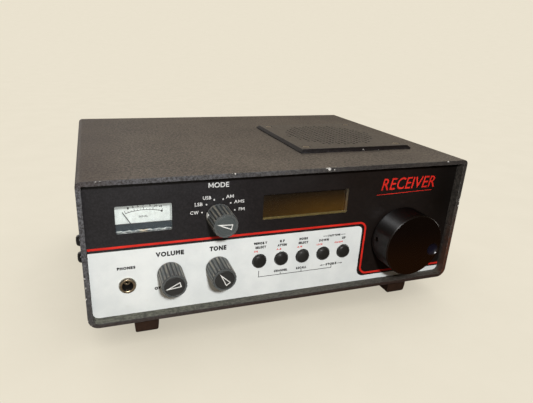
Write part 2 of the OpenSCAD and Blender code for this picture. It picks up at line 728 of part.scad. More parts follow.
// ---------- knobs ----------
module small_knob(c) {
  color([0.22, 0.23, 0.24])
  difference() {
    turn(c, 72) polygon([[3.02, 3.6], [6.4, 3.6], [6.4, 0.8], [knob_r - 0.1, 0.8], [knob_r, 1.1], [knob_r - 0.3, knob_reach - 0.8],
      [knob_r - 0.7, knob_reach - 0.1], [knob_r - 1.65, knob_reach - 0.1], [knob_r - 1.65, 13.5], [3.02, 13.5]]);
    for (i = [0 : flutes - 1]) translate([c[0], yp, c[1]]) rotate([90, 0, 0]) rotate([0, 0, i * 360 / flutes])
      translate([knob_r + 0.35, 0, 1.6]) rotate([0, -1.1, 0]) cylinder(r = 0.8, h = knob_reach + 3, $fn = 20);
  }
}
module knob_cap(c) {
  color([0.07, 0.07, 0.075])
  turn(c, 64) polygon([[0, 13.5], [knob_r - 1.7, 13.5], [knob_r - 1.7, knob_reach - 0.1], [knob_r - 1.95, knob_reach + 0.15],
    [knob_r - 2.3, knob_reach + 0.2], [knob_r - 2.4, knob_reach], [0, knob_reach + 0.15]]);
}
module knob_shaft(c, rear, disc_r, disc_y) {
  color([0.75, 0.75, 0.74]) {
    cy(c, 3.0, yp - 13.4, rear, 40);
    cy(c, disc_r, disc_y, disc_y + 1, 48);
  }
}
module volume_knob() { small_knob(vol_c); }
module tone_knob() { small_knob(ton_c); }
module mode_knob() { small_knob(mod_c); }
module volume_cap() { knob_cap(vol_c); }
module tone_cap() { knob_cap(ton_c); }
module mode_cap() { knob_cap(mod_c); }
module volume_shaft() { knob_shaft(vol_c, yi + 8, 6.3, yi + 4.5); }
module tone_shaft() { knob_shaft(ton_c, yi + 8, 6.3, yi + 4.5); }
module mode_shaft() { knob_shaft(mod_c, yi + 11.5, 9.8, yi + 6.5); }

grub_a = 175;  // direction of the grub screw hole
module tuning_knob() {
  color([0.06, 0.055, 0.05])
  difference() {
    turn(tun_c, 96) polygon([[3.02, 5.0], [12, 5.0], [12, 1.5], [tuning_r - 0.5, 1.5], [tuning_r - 0.15, 1.9], [tuning_r, 2.6], [tuning_r, tuning_reach - 0.6],
      [tuning_r - 0.6, tuning_reach], [0, tuning_reach], [0, 15.2], [3.02, 15.2]]);
    // finger dimple
    translate([tun_c[0] + 16.3 * cos(dimple_angle), yp - tuning_reach - 4.5, tun_c[1] + 16.3 * sin(dimple_angle)]) sphere(r = 6.4, $fn = 64);
    // radial hole of the grub screw
    translate([tun_c[0], yp - 6.6, tun_c[1]]) rotate([0, -grub_a, 0]) translate([1, 0, 0]) rotate([0, 90, 0]) cylinder(r = 1.6, h = 24, $fn = 32);
  }
}
module tuning_grub_screw() {
  color([0.65, 0.65, 0.66])
  translate([tun_c[0], yp - 6.6, tun_c[1]]) rotate([0, -grub_a, 0]) translate([3.05, 0, 0]) rotate([0, 90, 0]) difference() {
    cylinder(r = 1.5, h = 16.6, $fn = 32);
    translate([0, 0, 14.6]) cylinder(r = 0.85, h = 5, $fn = 6);
  }
}
module tuning_shaft() {
  color([0.75, 0.75, 0.74]) {
    cy(tun_c, 3.0, yp - 15, yi + 18, 40);
    // slotted code disc
    translate([tun_c[0], yi + 9, tun_c[1]]) rotate([90, 0, 0]) linear_extrude(0.8) difference() {
      circle(r = 13, $fn = 64);
      circle(r = 2.9, $fn = 40);
      for (i = [0 : 23]) rotate(i * 15) translate([9.5, -0.6]) square([2.2, 1.2]);
    }
  }
}
module button(i) {
  color([0.08, 0.08, 0.085])
  turn([btn_x[i], btn_z], 48) polygon([[0, 2.6], [1.6, 2.52], [2.9, 2.3], [button_r - 0.75, 1.95], [button_r - 0.25, 1.45], [button_r, 0.8], [button_r, -2.6],
    [button_r + 0.7, -2.6], [button_r + 0.7, -3.4], [2.2, -3.4], [2.2, -5.0], [0, -5.0]]);
}
module button_memory() { button(0); }
module button_store() { button(1); }
module button_recall() { button(2); }
module button_down() { button(3); }
module button_up() { button(4); }

top_cover();
bottom_cover();
front_panel();
front_overlay();
rear_panel();
side_rails();
chassis_screws();
case_screws();
feet();
foot_screws();
speaker_grille();
grille_screws();
speaker_frame();
speaker_magnet();
speaker_surround();
speaker_cone();
main_board();
board_standoffs();
front_board();
filter_cans();
shield_can();
capacitors();
chips();
ribbon_cable();
meter_case();
meter_window();
meter_scale();
meter_magnet();
meter_pointer();
display_window();
lcd_module();
control_pots();
mode_switch();
tuning_encoder();
panel_nuts();
button_switches();
phones_jack();
antenna_socket();
terminal_block();
terminal_lever_aerial();
terminal_lever_ground();
line_jacks();
dc_jack();
volume_knob();
volume_cap();
volume_shaft();
tone_knob();
tone_cap();
tone_shaft();
mode_knob();
mode_cap();
mode_shaft();
tuning_knob();
tuning_grub_screw();
tuning_shaft();
button_memory();
button_store();
button_recall();
button_down();
button_up();
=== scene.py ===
import math

import bmesh
import bpy
from mathutils import Matrix, Vector
from mathutils.geometry import tessellate_polygon


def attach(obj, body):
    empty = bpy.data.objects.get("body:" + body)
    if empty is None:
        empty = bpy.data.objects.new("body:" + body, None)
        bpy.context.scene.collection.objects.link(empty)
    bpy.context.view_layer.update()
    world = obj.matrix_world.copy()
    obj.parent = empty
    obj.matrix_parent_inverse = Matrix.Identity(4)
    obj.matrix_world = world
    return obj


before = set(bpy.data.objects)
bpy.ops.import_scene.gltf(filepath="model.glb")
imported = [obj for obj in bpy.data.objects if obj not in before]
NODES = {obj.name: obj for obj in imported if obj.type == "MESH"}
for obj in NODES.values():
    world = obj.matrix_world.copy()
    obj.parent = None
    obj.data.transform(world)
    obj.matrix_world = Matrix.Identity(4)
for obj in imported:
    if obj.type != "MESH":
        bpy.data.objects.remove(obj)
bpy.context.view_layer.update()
scene = bpy.context.scene
MM = 0.001


def lin(r, g, b):
    """sRGB 0..255 to linear RGBA."""
    def f(c):
        c /= 255.0
        return c / 12.92 if c <= 0.04045 else ((c + 0.055) / 1.055) ** 2.4
    return (f(r), f(g), f(b), 1.0)


# ------------------------------------------------------------------ shader graph helper
class Graph:
    def __init__(self, name):
        self.mat = bpy.data.materials.new(name)
        self.mat.use_nodes = True
        self.tree = self.mat.node_tree
        self.tree.nodes.clear()
        self.out = self.tree.nodes.new("ShaderNodeOutputMaterial")
        self._co = None

    def put(self, socket, value):
        if isinstance(value, bpy.types.NodeSocket):
            self.tree.links.new(value, socket)
        elif value is not None:
            if hasattr(socket, "default_value"):
                cur = socket.default_value
                if hasattr(cur, "__len__") and not hasattr(value, "__len__"):
                    value = [value] * len(cur)
                    if len(cur) == 4:
                        value[3] = 1.0
                socket.default_value = value

    def node(self, kind, props=None, ins=None):
        n = self.tree.nodes.new(kind)
        for k, v in (props or {}).items():
            setattr(n, k, v)
        for k, v in (ins or {}).items():
            self.put(n.inputs[k], v)
        return n

    def co(self):
        """Object position in millimetres."""
        if self._co is None:
            tc = self.node("ShaderNodeTexCoord")
            self._co = self.vec("SCALE", tc.outputs["Object"], scale=1000.0)
        return self._co

    def vec(self, op, a, b=None, scale=None):
        n = self.node("ShaderNodeVectorMath", {"operation": op})
        self.put(n.inputs[0], a)
        if b is not None:
            self.put(n.inputs[1], b)
        if scale is not None:
            self.put(n.inputs["Scale"], scale)
        return n.outputs["Value"] if op in ("LENGTH", "DISTANCE", "DOT_PRODUCT") else n.outputs["Vector"]

    def xyz(self, v=None):
        n = self.node("ShaderNodeSeparateXYZ", None, {0: v if v is not None else self.co()})
        return n.outputs[0], n.outputs[1], n.outputs[2]

    def join(self, x, y, z):
        return self.node("ShaderNodeCombineXYZ", None, {0: x, 1: y, 2: z}).outputs[0]

    def m(self, op, a, b=None, c=None, clamp=False):
        n = self.node("ShaderNodeMath", {"operation": op, "use_clamp": clamp})
        self.put(n.inputs[0], a)
        if b is not None:
            self.put(n.inputs[1], b)
        if c is not None:
            self.put(n.inputs[2], c)
        return n.outputs[0]

    def noise(self, scale, detail=3.0, rough=0.5, distort=0.0, v=None):
        n = self.node("ShaderNodeTexNoise", {"noise_dimensions": "3D"},
                      {"Vector": v if v is not None else self.co(), "Scale": scale, "Detail": detail,
                       "Roughness": rough, "Distortion": distort})
        return n.outputs[0]

    def voronoi(self, scale, feature="F1", v=None, rand=1.0, out="Distance"):
        n = self.node("ShaderNodeTexVoronoi", {"feature": feature},
                      {"Vector": v if v is not None else self.co(), "Scale": scale, "Randomness": rand})
        return n.outputs[out]

    def ramp(self, fac, lo, hi, a=0.0, b=1.0):
        """Linear map of fac from lo..hi to a..b, clamped."""
        n = self.node("ShaderNodeMapRange", {"clamp": True},
                      {"Value": fac, "From Min": lo, "From Max": hi, "To Min": a, "To Max": b})
        return n.outputs["Result"]

    def smooth(self, fac, lo, hi, a=0.0, b=1.0):
        n = self.node("ShaderNodeMapRange", {"clamp": True, "interpolation_type": "SMOOTHSTEP"},
                      {"Value": fac, "From Min": lo, "From Max": hi, "To Min": a, "To Max": b})
        return n.outputs["Result"]

    def mix(self, fac, a, b, blend="MIX"):
        n = self.node("ShaderNodeMix", {"data_type": "RGBA", "blend_type": blend})
        self.put(n.inputs[0], fac)
        self.put(n.inputs[6], a)
        self.put(n.inputs[7], b)
        return n.outputs[2]

    def bump(self, height, dist_mm, strength=1.0, normal=None):
        n = self.node("ShaderNodeBump", None, {"Height": height, "Distance": dist_mm * MM, "Strength": strength})
        if normal is not None:
            self.put(n.inputs["Normal"], normal)
        return n.outputs[0]

    def bevel(self, radius_mm, samples=4):
        return self.node("ShaderNodeBevel", {"samples": samples}, {"Radius": radius_mm * MM}).outputs[0]

    def edge(self, radius_mm=0.4, lo=0.02, hi=0.35, samples=4):
        """1 on sharp edges, 0 elsewhere."""
        bn = self.bevel(radius_mm, samples)
        gn = self.node("ShaderNodeNewGeometry").outputs["Normal"]
        d = self.vec("DOT_PRODUCT", bn, gn)
        return self.ramp(self.m("SUBTRACT", 1.0, d), lo, hi)

    def shader(self, **kw):
        n = self.node("ShaderNodeBsdfPrincipled")
        names = {"color": "Base Color", "rough": "Roughness", "metal": "Metallic", "normal": "Normal",
                 "spec": "Specular IOR Level", "tint": "Specular Tint", "coat": "Coat Weight",
                 "coat_rough": "Coat Roughness", "sheen": "Sheen Weight", "sheen_rough": "Sheen Roughness",
                 "sheen_tint": "Sheen Tint",
                 "aniso": "Anisotropic", "aniso_rot": "Anisotropic Rotation", "trans": "Transmission Weight", "ior": "IOR", "emit": "Emission Color",
                 "emit_s": "Emission Strength", "sss": "Subsurface Weight", "tangent": "Tangent"}
        for k, v in kw.items():
            self.put(n.inputs[names[k]], v)
        return n.outputs[0]

    def end(self, shader):
        self.tree.links.new(shader, self.out.inputs["Surface"])
        return self.mat


MATS = {}


def material(name):
    def wrap(fn):
        g = Graph(name)
        MATS[name] = fn(g)
        return fn
    return wrap


# ------------------------------------------------------------------ painted steel of the case
# paint chips down to pale primer: x, y, z, radius (mm)
CHIPS = [(20.0, -89, 103.9, 0.95), (18.4, -89, 104.5, 0.5), (23.6, -89, 103.3, 0.42), (24.8, -88.2, 104.7, 0.3),
         (-40.2, -89, 104.3, 0.5), (-41.8, -88.6, 104.7, 0.32), (109.6, -89, 104.4, 0.42), (125.9, -88.2, 104.2, 0.45),
         (126.5, -88.8, 76.4, 0.6), (126.4, -88.9, 74.8, 0.75), (126.3, -88.9, 71.4, 0.7), (126.5, -88.9, 69.6, 0.45),
         (125.9, -89, 64.0, 0.35), (-116.1, -89, 104.3, 0.32), (-113.9, -88.9, 104.6, 0.28), (-126.0, -89, 48.6, 0.42),
         (-125.8, -89, 42.6, 0.40), (-126.4, -89, 35.2, 0.55), (-126.2, -89, 21.0, 0.38), (-124.4, -89, 17.6, 0.35),
         (125.8, 96, 88.0, 0.5), (-126.2, 96, 70.0, 0.4), (60.0, 96, 104.4, 0.4), (66.3, -53.0, 106.0, 0.55),
         (66.8, -53.2, 105.0, 0.3), (78.8, -53.2, 104.9, 0.38)]


def paint(g, base_a, base_b, rough, scratches=True, edge_z=None, spec=0.5):
    co = g.co()
    # pressed leather-grain texture of the coated sheet
    cells = g.voronoi(1.05, "SMOOTH_F1")
    fine = g.noise(2.6, 3.0, 0.6)
    soft = g.noise(0.75, 2.0, 0.5)
    height = g.m("ADD", g.m("MULTIPLY", cells, 0.75), g.m("ADD", g.m("MULTIPLY", fine, 0.55), g.m("MULTIPLY", soft, 0.5)))
    blotch = g.noise(0.018, 4.0, 0.6)
    speck = g.noise(0.62, 4.0, 0.8)
    mottle = g.noise(0.17, 4.0, 0.7)
    col = g.mix(g.smooth(g.m("ADD", g.m("MULTIPLY", blotch, 0.14), g.m("ADD", g.m("MULTIPLY", mottle, 0.14), g.m("MULTIPLY", speck, 0.72))), 0.36, 0.64), base_a, base_b)
    # dust lying in the grain
    dust = g.smooth(g.noise(0.05, 5.0, 0.65), 0.50, 0.75, 0.0, 0.30)
    col = g.mix(dust, col, lin(74, 70, 64))
    if edge_z is not None:
        # the sloping borders of the plate are darkened to near-black, with less specular
        x, y, z = g.xyz()
        slope = g.smooth(z, edge_z - 0.22, edge_z - 0.08, 1.0, 0.0)
        col = g.mix(g.m("MULTIPLY", slope, 0.92), col, lin(16, 13, 14))
        spec = g.m("SUBTRACT", spec, g.m("MULTIPLY", slope, spec - 0.12))
    # front rims: painted sheen makes them greyer to the left; painted warm reflection makes them browner low down to
    # the right
    x, y, z = g.xyz()
    ny = g.node("ShaderNodeSeparateXYZ", None, {0: g.node("ShaderNodeNewGeometry").outputs["Normal"]}).outputs[1]
    painted_rim_sheen = g.m("MULTIPLY", g.smooth(ny, -0.45, -0.8), g.m("MULTIPLY", g.smooth(x, 90.0, -126.0), g.smooth(z, 12.0, 60.0, 0.35, 1.0)))
    sheen_speckle = g.smooth(g.noise(0.85, 5.0, 0.75), 0.36, 0.64)
    col = g.mix(g.m("MULTIPLY", painted_rim_sheen, g.smooth(z, 60.0, 98.0, 0.74, 0.86)), col, g.mix(sheen_speckle, lin(30, 29, 29), lin(104, 104, 108)))
    # painted warm reflection: browner low down to the right and along the bottom rim
    warm_reflection_low = g.m("MAXIMUM", g.m("MULTIPLY", g.smooth(x, 40.0, 127.0), g.smooth(z, 62.0, 12.0)), g.m("MULTIPLY", g.m("MULTIPLY", g.smooth(ny, -0.45, -0.8), g.smooth(z, 19.0, 15.5)), g.smooth(x, -120.0, 20.0, 0.7, 1.15)))
    fore = g.smooth(y, -83.0, -87.5)
    col = g.mix(g.m("MULTIPLY", g.m("MULTIPLY", warm_reflection_low, 0.80, clamp=True), fore), col, lin(40, 19, 6))
    # painted shade: the upper front rim darkens towards the right
    tr = g.m("MULTIPLY", g.m("MULTIPLY", g.smooth(ny, -0.45, -0.8), g.smooth(x, -20.0, 50.0)), g.smooth(z, 80.0, 100.0, 0.0, 0.45))
    col = g.mix(tr, col, lin(22, 14, 15))
    # painted warm light: an orange-brown glow along the right-hand front edge
    painted_edge_glow = g.m("MULTIPLY", g.m("MULTIPLY", g.smooth(x, 121.5, 125.5), g.smooth(z, 78.0, 34.0)), g.smooth(g.noise(0.16, 4.0, 0.7), 0.36, 0.62, 0.2, 0.75))
    col = g.mix(g.m("MULTIPLY", painted_edge_glow, fore), col, lin(102, 54, 24))
    nz = g.node("ShaderNodeSeparateXYZ", None, {0: g.node("ShaderNodeNewGeometry").outputs["Normal"]}).outputs[2]
    # painted sheen: the upward-facing ledge low on the front is lighter, most to the left
    painted_ledge_sheen = g.m("MULTIPLY", g.m("MULTIPLY", g.smooth(nz, 0.5, 0.9), g.smooth(z, 22.0, 19.0)), g.smooth(x, 70.0, -120.0, 0.15, 0.6))
    col = g.mix(painted_ledge_sheen, col, g.mix(g.smooth(g.noise(0.4, 4.0, 0.7), 0.35, 0.65), lin(64, 66, 58), lin(132, 134, 118)))
    warm = g.m("MULTIPLY", g.smooth(x, -86.0, -124.0, 0.0, 0.55), g.smooth(z, 98.0, 103.0))
    col = g.mix(warm, col, lin(46, 30, 18))
    # scuffed edges
    e = g.edge(0.7, 0.03, 0.30)
    worn = g.m("MULTIPLY", e, g.smooth(g.noise(0.32, 4.0, 0.65), 0.40, 0.62), clamp=True)
    col = g.mix(g.m("MULTIPLY", worn, 0.5), col, lin(128, 128, 126))
    if scratches:
        x, y, z = g.xyz()
        streak = g.noise(1.0, 3.0, 0.6, 0.4, v=g.join(g.m("MULTIPLY", x, 0.05), g.m("MULTIPLY", y, 2.2), g.m("MULTIPLY", z, 2.2)))
        patch = g.smooth(g.noise(0.022, 2.0, 0.5), 0.56, 0.66)
        line = g.m("MULTIPLY", g.smooth(streak, 0.66, 0.70), patch)
        col = g.mix(g.m("MULTIPLY", line, 0.22), col, lin(140, 136, 128))
    # chips
    wob = g.vec("SCALE", g.vec("SUBTRACT", g.node("ShaderNodeTexNoise", None, {"Vector": co, "Scale": 1.6, "Detail": 2.0}).outputs["Color"], (0.5, 0.5, 0.5)), scale=1.7)
    p = g.vec("ADD", co, wob)
    chip = None
    for cx, cy, cz, r in CHIPS:
        d = g.m("LESS_THAN", g.vec("DISTANCE", p, (cx, cy, cz)), r)
        chip = d if chip is None else g.m("MAXIMUM", chip, d)
    col = g.mix(chip, col, lin(204, 202, 196))
    rgh = g.m("ADD", g.m("ADD", g.ramp(fine, 0.3, 0.7, rough - 0.06, rough + 0.07), g.ramp(mottle, 0.35, 0.65, -0.03, 0.03)), g.m("MULTIPLY", chip, 0.05))
    nrm = g.bump(g.m("SUBTRACT", height, g.m("MULTIPLY", chip, 0.8)), 0.26, 0.7, g.bevel(0.45))
    return g.end(g.shader(color=col, rough=rgh, normal=nrm, spec=spec))


@material("cover_paint")
def _(g):
    # painted sheen: the top is a lighter grey-brown than the sides
    up = g.smooth(g.node("ShaderNodeSeparateXYZ", None, {0: g.node("ShaderNodeNewGeometry").outputs["Normal"]}).outputs[2], 0.5, 0.9)
    return paint(g, g.mix(up, lin(22, 20, 18), lin(37, 34, 31)), g.mix(up, lin(76, 71, 64), lin(114, 106, 96)), 0.68)


@material("cover_paint_lower")
def _(g):
    return paint(g, lin(22, 20, 18), lin(76, 71, 64), 0.68)


@material("grille_plastic")
def _(g):
    return paint(g, lin(24, 22, 21), lin(76, 72, 67), 0.52, scratches=False, edge_z=107.3)


@material("rear_paint")
def _(g):
    return paint(g, lin(26, 25, 24), lin(38, 36, 34), 0.5)


# ------------------------------------------------------------------ front panel
@material("panel_film")
def _(g):
    # fine-grained polycarbonate film, screen printed black from behind
    fine = g.noise(5.5, 2.0, 0.6)
    mid = g.noise(0.9, 3.0, 0.6)
    wide = g.noise(0.03, 3.0, 0.55)
    x, y, z = g.xyz()
    # painted reflection: the film is greyer to the left and a warmer, darker brown to the right
    side = g.smooth(x, -90.0, 60.0)
    left = g.mix(g.smooth(mid, 0.38, 0.66), lin(24, 23, 24), lin(36, 34, 36))
    right = g.mix(g.smooth(mid, 0.38, 0.66), lin(17, 12, 9), lin(25, 18, 14))
    col = g.mix(side, left, right)
    col = g.mix(g.smooth(fine, 0.62, 0.74, 0.0, 0.35), col, lin(62, 58, 58))
    rub = g.smooth(g.noise(0.11, 5.0, 0.6), 0.56, 0.75, 0.0, 0.10)
    col = g.mix(rub, col, lin(70, 64, 60))
    # painted shade: the upper right of the film is darkened and its specular lowered
    painted_shade_corner = g.m("MULTIPLY", g.smooth(x, 84.0, 120.0), g.smooth(z, 40.0, 80.0, 0.3, 1.0))
    col = g.mix(g.m("MULTIPLY", painted_shade_corner, 0.8), col, lin(6, 4, 2))
    rgh = g.m("ADD", g.ramp(wide, 0.3, 0.7, 0.36, 0.48), g.ramp(fine, 0.3, 0.7, -0.03, 0.03))
    nrm = g.bump(fine, 0.03, 0.45, g.bevel(0.15))
    return g.end(g.shader(color=col, rough=rgh, normal=nrm, spec=g.m("SUBTRACT", 0.5, g.m("MULTIPLY", painted_shade_corner, 0.25))))


def ink(g, a, b, rough=0.42):
    blot = g.noise(0.05, 4.0, 0.6)
    fine = g.noise(4.0, 2.0, 0.6)
    stain = g.smooth(g.noise(0.16, 5.0, 0.7), 0.60, 0.80, 0.0, 0.14)
    col = g.mix(g.smooth(g.m("ADD", g.m("MULTIPLY", blot, 0.7), g.m("MULTIPLY", fine, 0.3)), 0.35, 0.65), a, b)
    col = g.mix(stain, col, lin(188, 178, 158))
    rgh = g.ramp(fine, 0.3, 0.7, rough - 0.05, rough + 0.06)
    return g.end(g.shader(color=col, rough=rgh, normal=g.bump(fine, 0.02, 0.35), spec=0.4))


@material("ink_white")
def _(g):
    return ink(g, lin(219, 223, 220), lin(232, 235, 231))


@material("ink_legend")
def _(g):
    fine = g.noise(6.0, 3.0, 0.7)
    col = g.mix(g.smooth(fine, 0.35, 0.7), lin(196, 196, 192), lin(238, 238, 234))
    return g.end(g.shader(color=col, rough=g.ramp(fine, 0.3, 0.7, 0.4, 0.55), normal=g.bump(fine, 0.015, 0.3), spec=0.35))


@material("ink_black")
def _(g):
    fine = g.noise(6.0, 3.0, 0.7)
    col = g.mix(g.smooth(fine, 0.35, 0.7), lin(16, 14, 14), lin(30, 27, 26))
    return g.end(g.shader(color=col, rough=g.ramp(fine, 0.3, 0.7, 0.38, 0.5), normal=g.bump(fine, 0.015, 0.3), spec=0.35))


@material("ink_red")
def _(g):
    fine = g.noise(5.0, 3.0, 0.7)
    wide = g.noise(0.08, 3.0, 0.5)
    col = g.mix(g.smooth(g.m("ADD", g.m("MULTIPLY", fine, 0.4), g.m("MULTIPLY", wide, 0.6)), 0.35, 0.65), lin(192, 34, 26), lin(226, 50, 38))
    return g.end(g.shader(color=col, rough=g.ramp(fine, 0.3, 0.7, 0.36, 0.5), normal=g.bump(fine, 0.015, 0.3), spec=0.35))


# ------------------------------------------------------------------ clear and smoked windows
def window(g, tint, rough, refl, hard=1.0):
    fine = g.noise(0.35, 5.0, 0.7)
    x, y, z = g.xyz()
    hair = g.noise(1.0, 2.0, 0.5, 0.3, v=g.join(g.m("MULTIPLY", x, 0.12), y, g.m("MULTIPLY", z, 3.0)))
    scr = g.m("MULTIPLY", g.smooth(hair, 0.68, 0.72), g.smooth(fine, 0.45, 0.6))
    clear = g.node("ShaderNodeBsdfTransparent", None, {"Color": g.mix(g.smooth(fine, 0.35, 0.75, 0.0, 0.12), tint, lin(150, 145, 135))})
    nrm = g.bump(g.noise(0.02, 2.0, 0.5), 0.25, 0.25, g.bevel(0.3))
    gloss = g.node("ShaderNodeBsdfGlossy", None, {"Color": (1, 1, 1, 1), "Roughness": g.m("ADD", rough, g.m("MULTIPLY", scr, 0.25)), "Normal": nrm})
    fres = g.node("ShaderNodeFresnel", None, {"IOR": 1.49, "Normal": nrm})
    fac = g.m("ADD", g.m("MULTIPLY", fres.outputs[0], refl), g.m("MULTIPLY", scr, 0.10), clamp=True)
    mx = g.node("ShaderNodeMixShader", None, {0: fac, 1: clear.outputs[0], 2: gloss.outputs[0]})
    return g.end(mx.outputs[0])


@material("clear_window")
def _(g):
    return window(g, (0.93, 0.94, 0.93, 1), 0.03, 0.7)


@material("smoked_window")
def _(g):
    return window(g, (0.70, 0.65, 0.55, 1), 0.30, 0.9)


# ------------------------------------------------------------------ display and meter
@material("lcd")
def _(g):
    # unlit reflective display: olive polariser, with painted light making it amber and brighter towards the lower right
    x, y, z = g.xyz()
    u = g.smooth(x, -24.0, 36.0)
    v = g.smooth(z, 85.0, 72.5)
    painted_glow = g.m("MULTIPLY", g.m("ADD", g.m("MULTIPLY", u, 0.75), 0.25), v)
    col = g.mix(painted_glow, lin(44, 40, 30), lin(150, 108, 26))
    fine = g.noise(2.0, 3.0, 0.6)
    col = g.mix(g.smooth(fine, 0.4, 0.7, 0.0, 0.2), col, lin(70, 62, 40))
    return g.end(g.shader(color=col, rough=g.ramp(fine, 0.3, 0.7, 0.35, 0.5), normal=g.bump(fine, 0.02, 0.3), spec=0.4))


def cell_colour(g, k=1.0):
    """Olive polariser with painted light: amber and brighter towards the bottom and the right."""
    x, y, z = g.xyz()
    u = g.smooth(x, -24.0, 30.0)
    v = g.smooth(z, 89.0, 73.0)
    painted_glow = g.m("MULTIPLY", g.m("ADD", g.m("MULTIPLY", u, 0.6), 0.4), v)
    return g.mix(painted_glow, lin(52 * k, 48 * k, 46 * k), lin(152 * k, 124 * k, 66 * k))


@material("lcd_glass")
def _(g):
    x, y, z = g.xyz()
    col = cell_colour(g)
    # faint rows of the cell matrix
    fine = g.noise(2.2, 3.0, 0.6)
    pix = g.m("MULTIPLY", g.m("FRACT", g.m("MULTIPLY", x, 1.6)), g.m("FRACT", g.m("MULTIPLY", z, 1.6)))
    col = g.mix(g.smooth(pix, 0.0, 0.25, 0.12, 0.0), col, lin(40, 34, 18))
    col = g.mix(g.smooth(fine, 0.45, 0.75, 0.0, 0.15), col, lin(96, 84, 58))
    return g.end(g.shader(color=col, rough=g.ramp(fine, 0.3, 0.7, 0.25, 0.38), normal=g.bump(fine, 0.02, 0.25), spec=0.45))


@material("lcd_ghost")
def _(g):
    fine = g.noise(3.0, 3.0, 0.6)
    col = g.mix(g.smooth(fine, 0.3, 0.7, 0.0, 0.15), cell_colour(g, 0.93), lin(60, 52, 34))
    return g.end(g.shader(color=col, rough=g.ramp(fine, 0.3, 0.7, 0.3, 0.42), normal=g.bump(fine, 0.01, 0.2), spec=0.4))


@material("lcd_edge")
def _(g):
    fine = g.noise(1.2, 3.0, 0.6)
    col = g.mix(g.smooth(fine, 0.3, 0.7), lin(120, 112, 74), lin(158, 148, 104))
    return g.end(g.shader(color=col, rough=g.ramp(fine, 0.3, 0.7, 0.3, 0.45), normal=g.bump(fine, 0.02, 0.3), spec=0.45))


@material("scale_white")
def _(g):
    fine = g.noise(3.0, 3.0, 0.6)
    wide = g.noise(0.07, 3.0, 0.5)
    col = g.mix(g.smooth(g.m("ADD", g.m("MULTIPLY", fine, 0.3), g.m("MULTIPLY", wide, 0.7)), 0.35, 0.65), lin(226, 230, 228), lin(243, 246, 243))
    # painted light: the scale glows faintly through its emission to stay bright in its recess
    return g.end(g.shader(color=col, rough=g.ramp(fine, 0.3, 0.7, 0.5, 0.62), normal=g.bump(fine, 0.015, 0.25), spec=0.3, emit=col, emit_s=0.41))


@material("meter_band")
def _(g):
    fine = g.noise(3.0, 3.0, 0.6)
    col = g.mix(g.smooth(fine, 0.35, 0.65), lin(58, 66, 74), lin(78, 86, 92))
    return g.end(g.shader(color=col, rough=g.ramp(fine, 0.3, 0.7, 0.35, 0.5), normal=g.bump(fine, 0.02, 0.3), spec=0.4))


@material("meter_lip")
def _(g):
    # clear moulding edge catching the light: bright, slightly wavy
    x, y, z = g.xyz()
    wav = g.noise(1.0, 3.0, 0.55, v=g.join(g.m("MULTIPLY", x, 0.42), y, g.m("MULTIPLY", z, 1.6)))
    col = g.mix(g.smooth(wav, 0.40, 0.62), lin(128, 138, 142), lin(236, 238, 234))
    warm = g.smooth(g.vec("DISTANCE", g.co(), (-92.0, -80.9, 71.4)), 1.0, 3.4, 0.8, 0.0)
    col = g.mix(warm, col, lin(226, 206, 176))
    return g.end(g.shader(color=col, rough=g.ramp(wav, 0.3, 0.7, 0.12, 0.3), normal=g.bump(wav, 0.3, 0.7), spec=0.6))


@material("needle")
def _(g):
    fine = g.noise(4.0, 3.0, 0.6)
    col = g.mix(g.smooth(fine, 0.35, 0.65), lin(24, 22, 22), lin(38, 36, 36))
    return g.end(g.shader(color=col, rough=g.ramp(fine, 0.3, 0.7, 0.4, 0.55), normal=g.bump(fine, 0.01, 0.2), spec=0.4))


# ------------------------------------------------------------------ plastics
def plastic(g, a, b, rough, grain=3.0, depth=0.05, edge_c=None, edge_k=0.45, spec=0.45, edge_r=0.3, coat=0.0, coat_rough=0.1, bevel=0.25):
    fine = g.noise(grain, 3.0, 0.6)
    wide = g.noise(0.09, 4.0, 0.6)
    col = g.mix(g.smooth(g.m("ADD", g.m("MULTIPLY", fine, 0.5), g.m("MULTIPLY", wide, 0.5)), 0.36, 0.66), a, b)
    if edge_c:
        e = g.m("MULTIPLY", g.edge(edge_r, 0.03, 0.3), g.smooth(g.noise(0.7, 4.0, 0.6), 0.38, 0.6), clamp=True)
        col = g.mix(g.m("MULTIPLY", e, edge_k), col, edge_c)
    rgh = g.m("ADD", g.ramp(fine, 0.3, 0.7, rough - 0.04, rough + 0.05), g.ramp(wide, 0.3, 0.7, -0.03, 0.04))
    nrm = g.bump(fine, depth, 0.5, g.bevel(bevel))
    return g.end(g.shader(color=col, rough=rgh, normal=nrm, spec=spec, coat=coat, coat_rough=coat_rough))


@material("knob_grey")
def _(g):
    return plastic(g, lin(62, 65, 66), lin(80, 83, 83), 0.42, 3.2, 0.05, lin(150, 150, 144), 0.5, 0.5, 0.25, bevel=0.12)


def spun(g, centre, a, b, rough, ring_scale, ring_k, spec=0.5):
    """Lathe rings about an axis along Y through centre (x, z)."""
    x, y, z = g.xyz()
    r = g.m("SQRT", g.m("ADD", g.m("POWER", g.m("SUBTRACT", x, centre[0]), 2.0), g.m("POWER", g.m("SUBTRACT", z, centre[1]), 2.0)))
    rv = g.join(g.m("MULTIPLY", r, ring_scale), 0.0, 0.0)
    ring = g.noise(1.0, 3.0, 0.7, v=rv)
    fine = g.noise(4.0, 2.0, 0.6)
    col = g.mix(g.smooth(g.m("ADD", g.m("MULTIPLY", ring, 0.6), g.m("MULTIPLY", fine, 0.4)), 0.36, 0.66), a, b)
    nrm = g.bump(g.m("ADD", g.m("MULTIPLY", ring, ring_k), g.m("MULTIPLY", fine, 0.12)), 0.05, 0.8, g.bevel(0.2))
    return col, g.ramp(ring, 0.3, 0.7, rough - 0.05, rough + 0.07), nrm


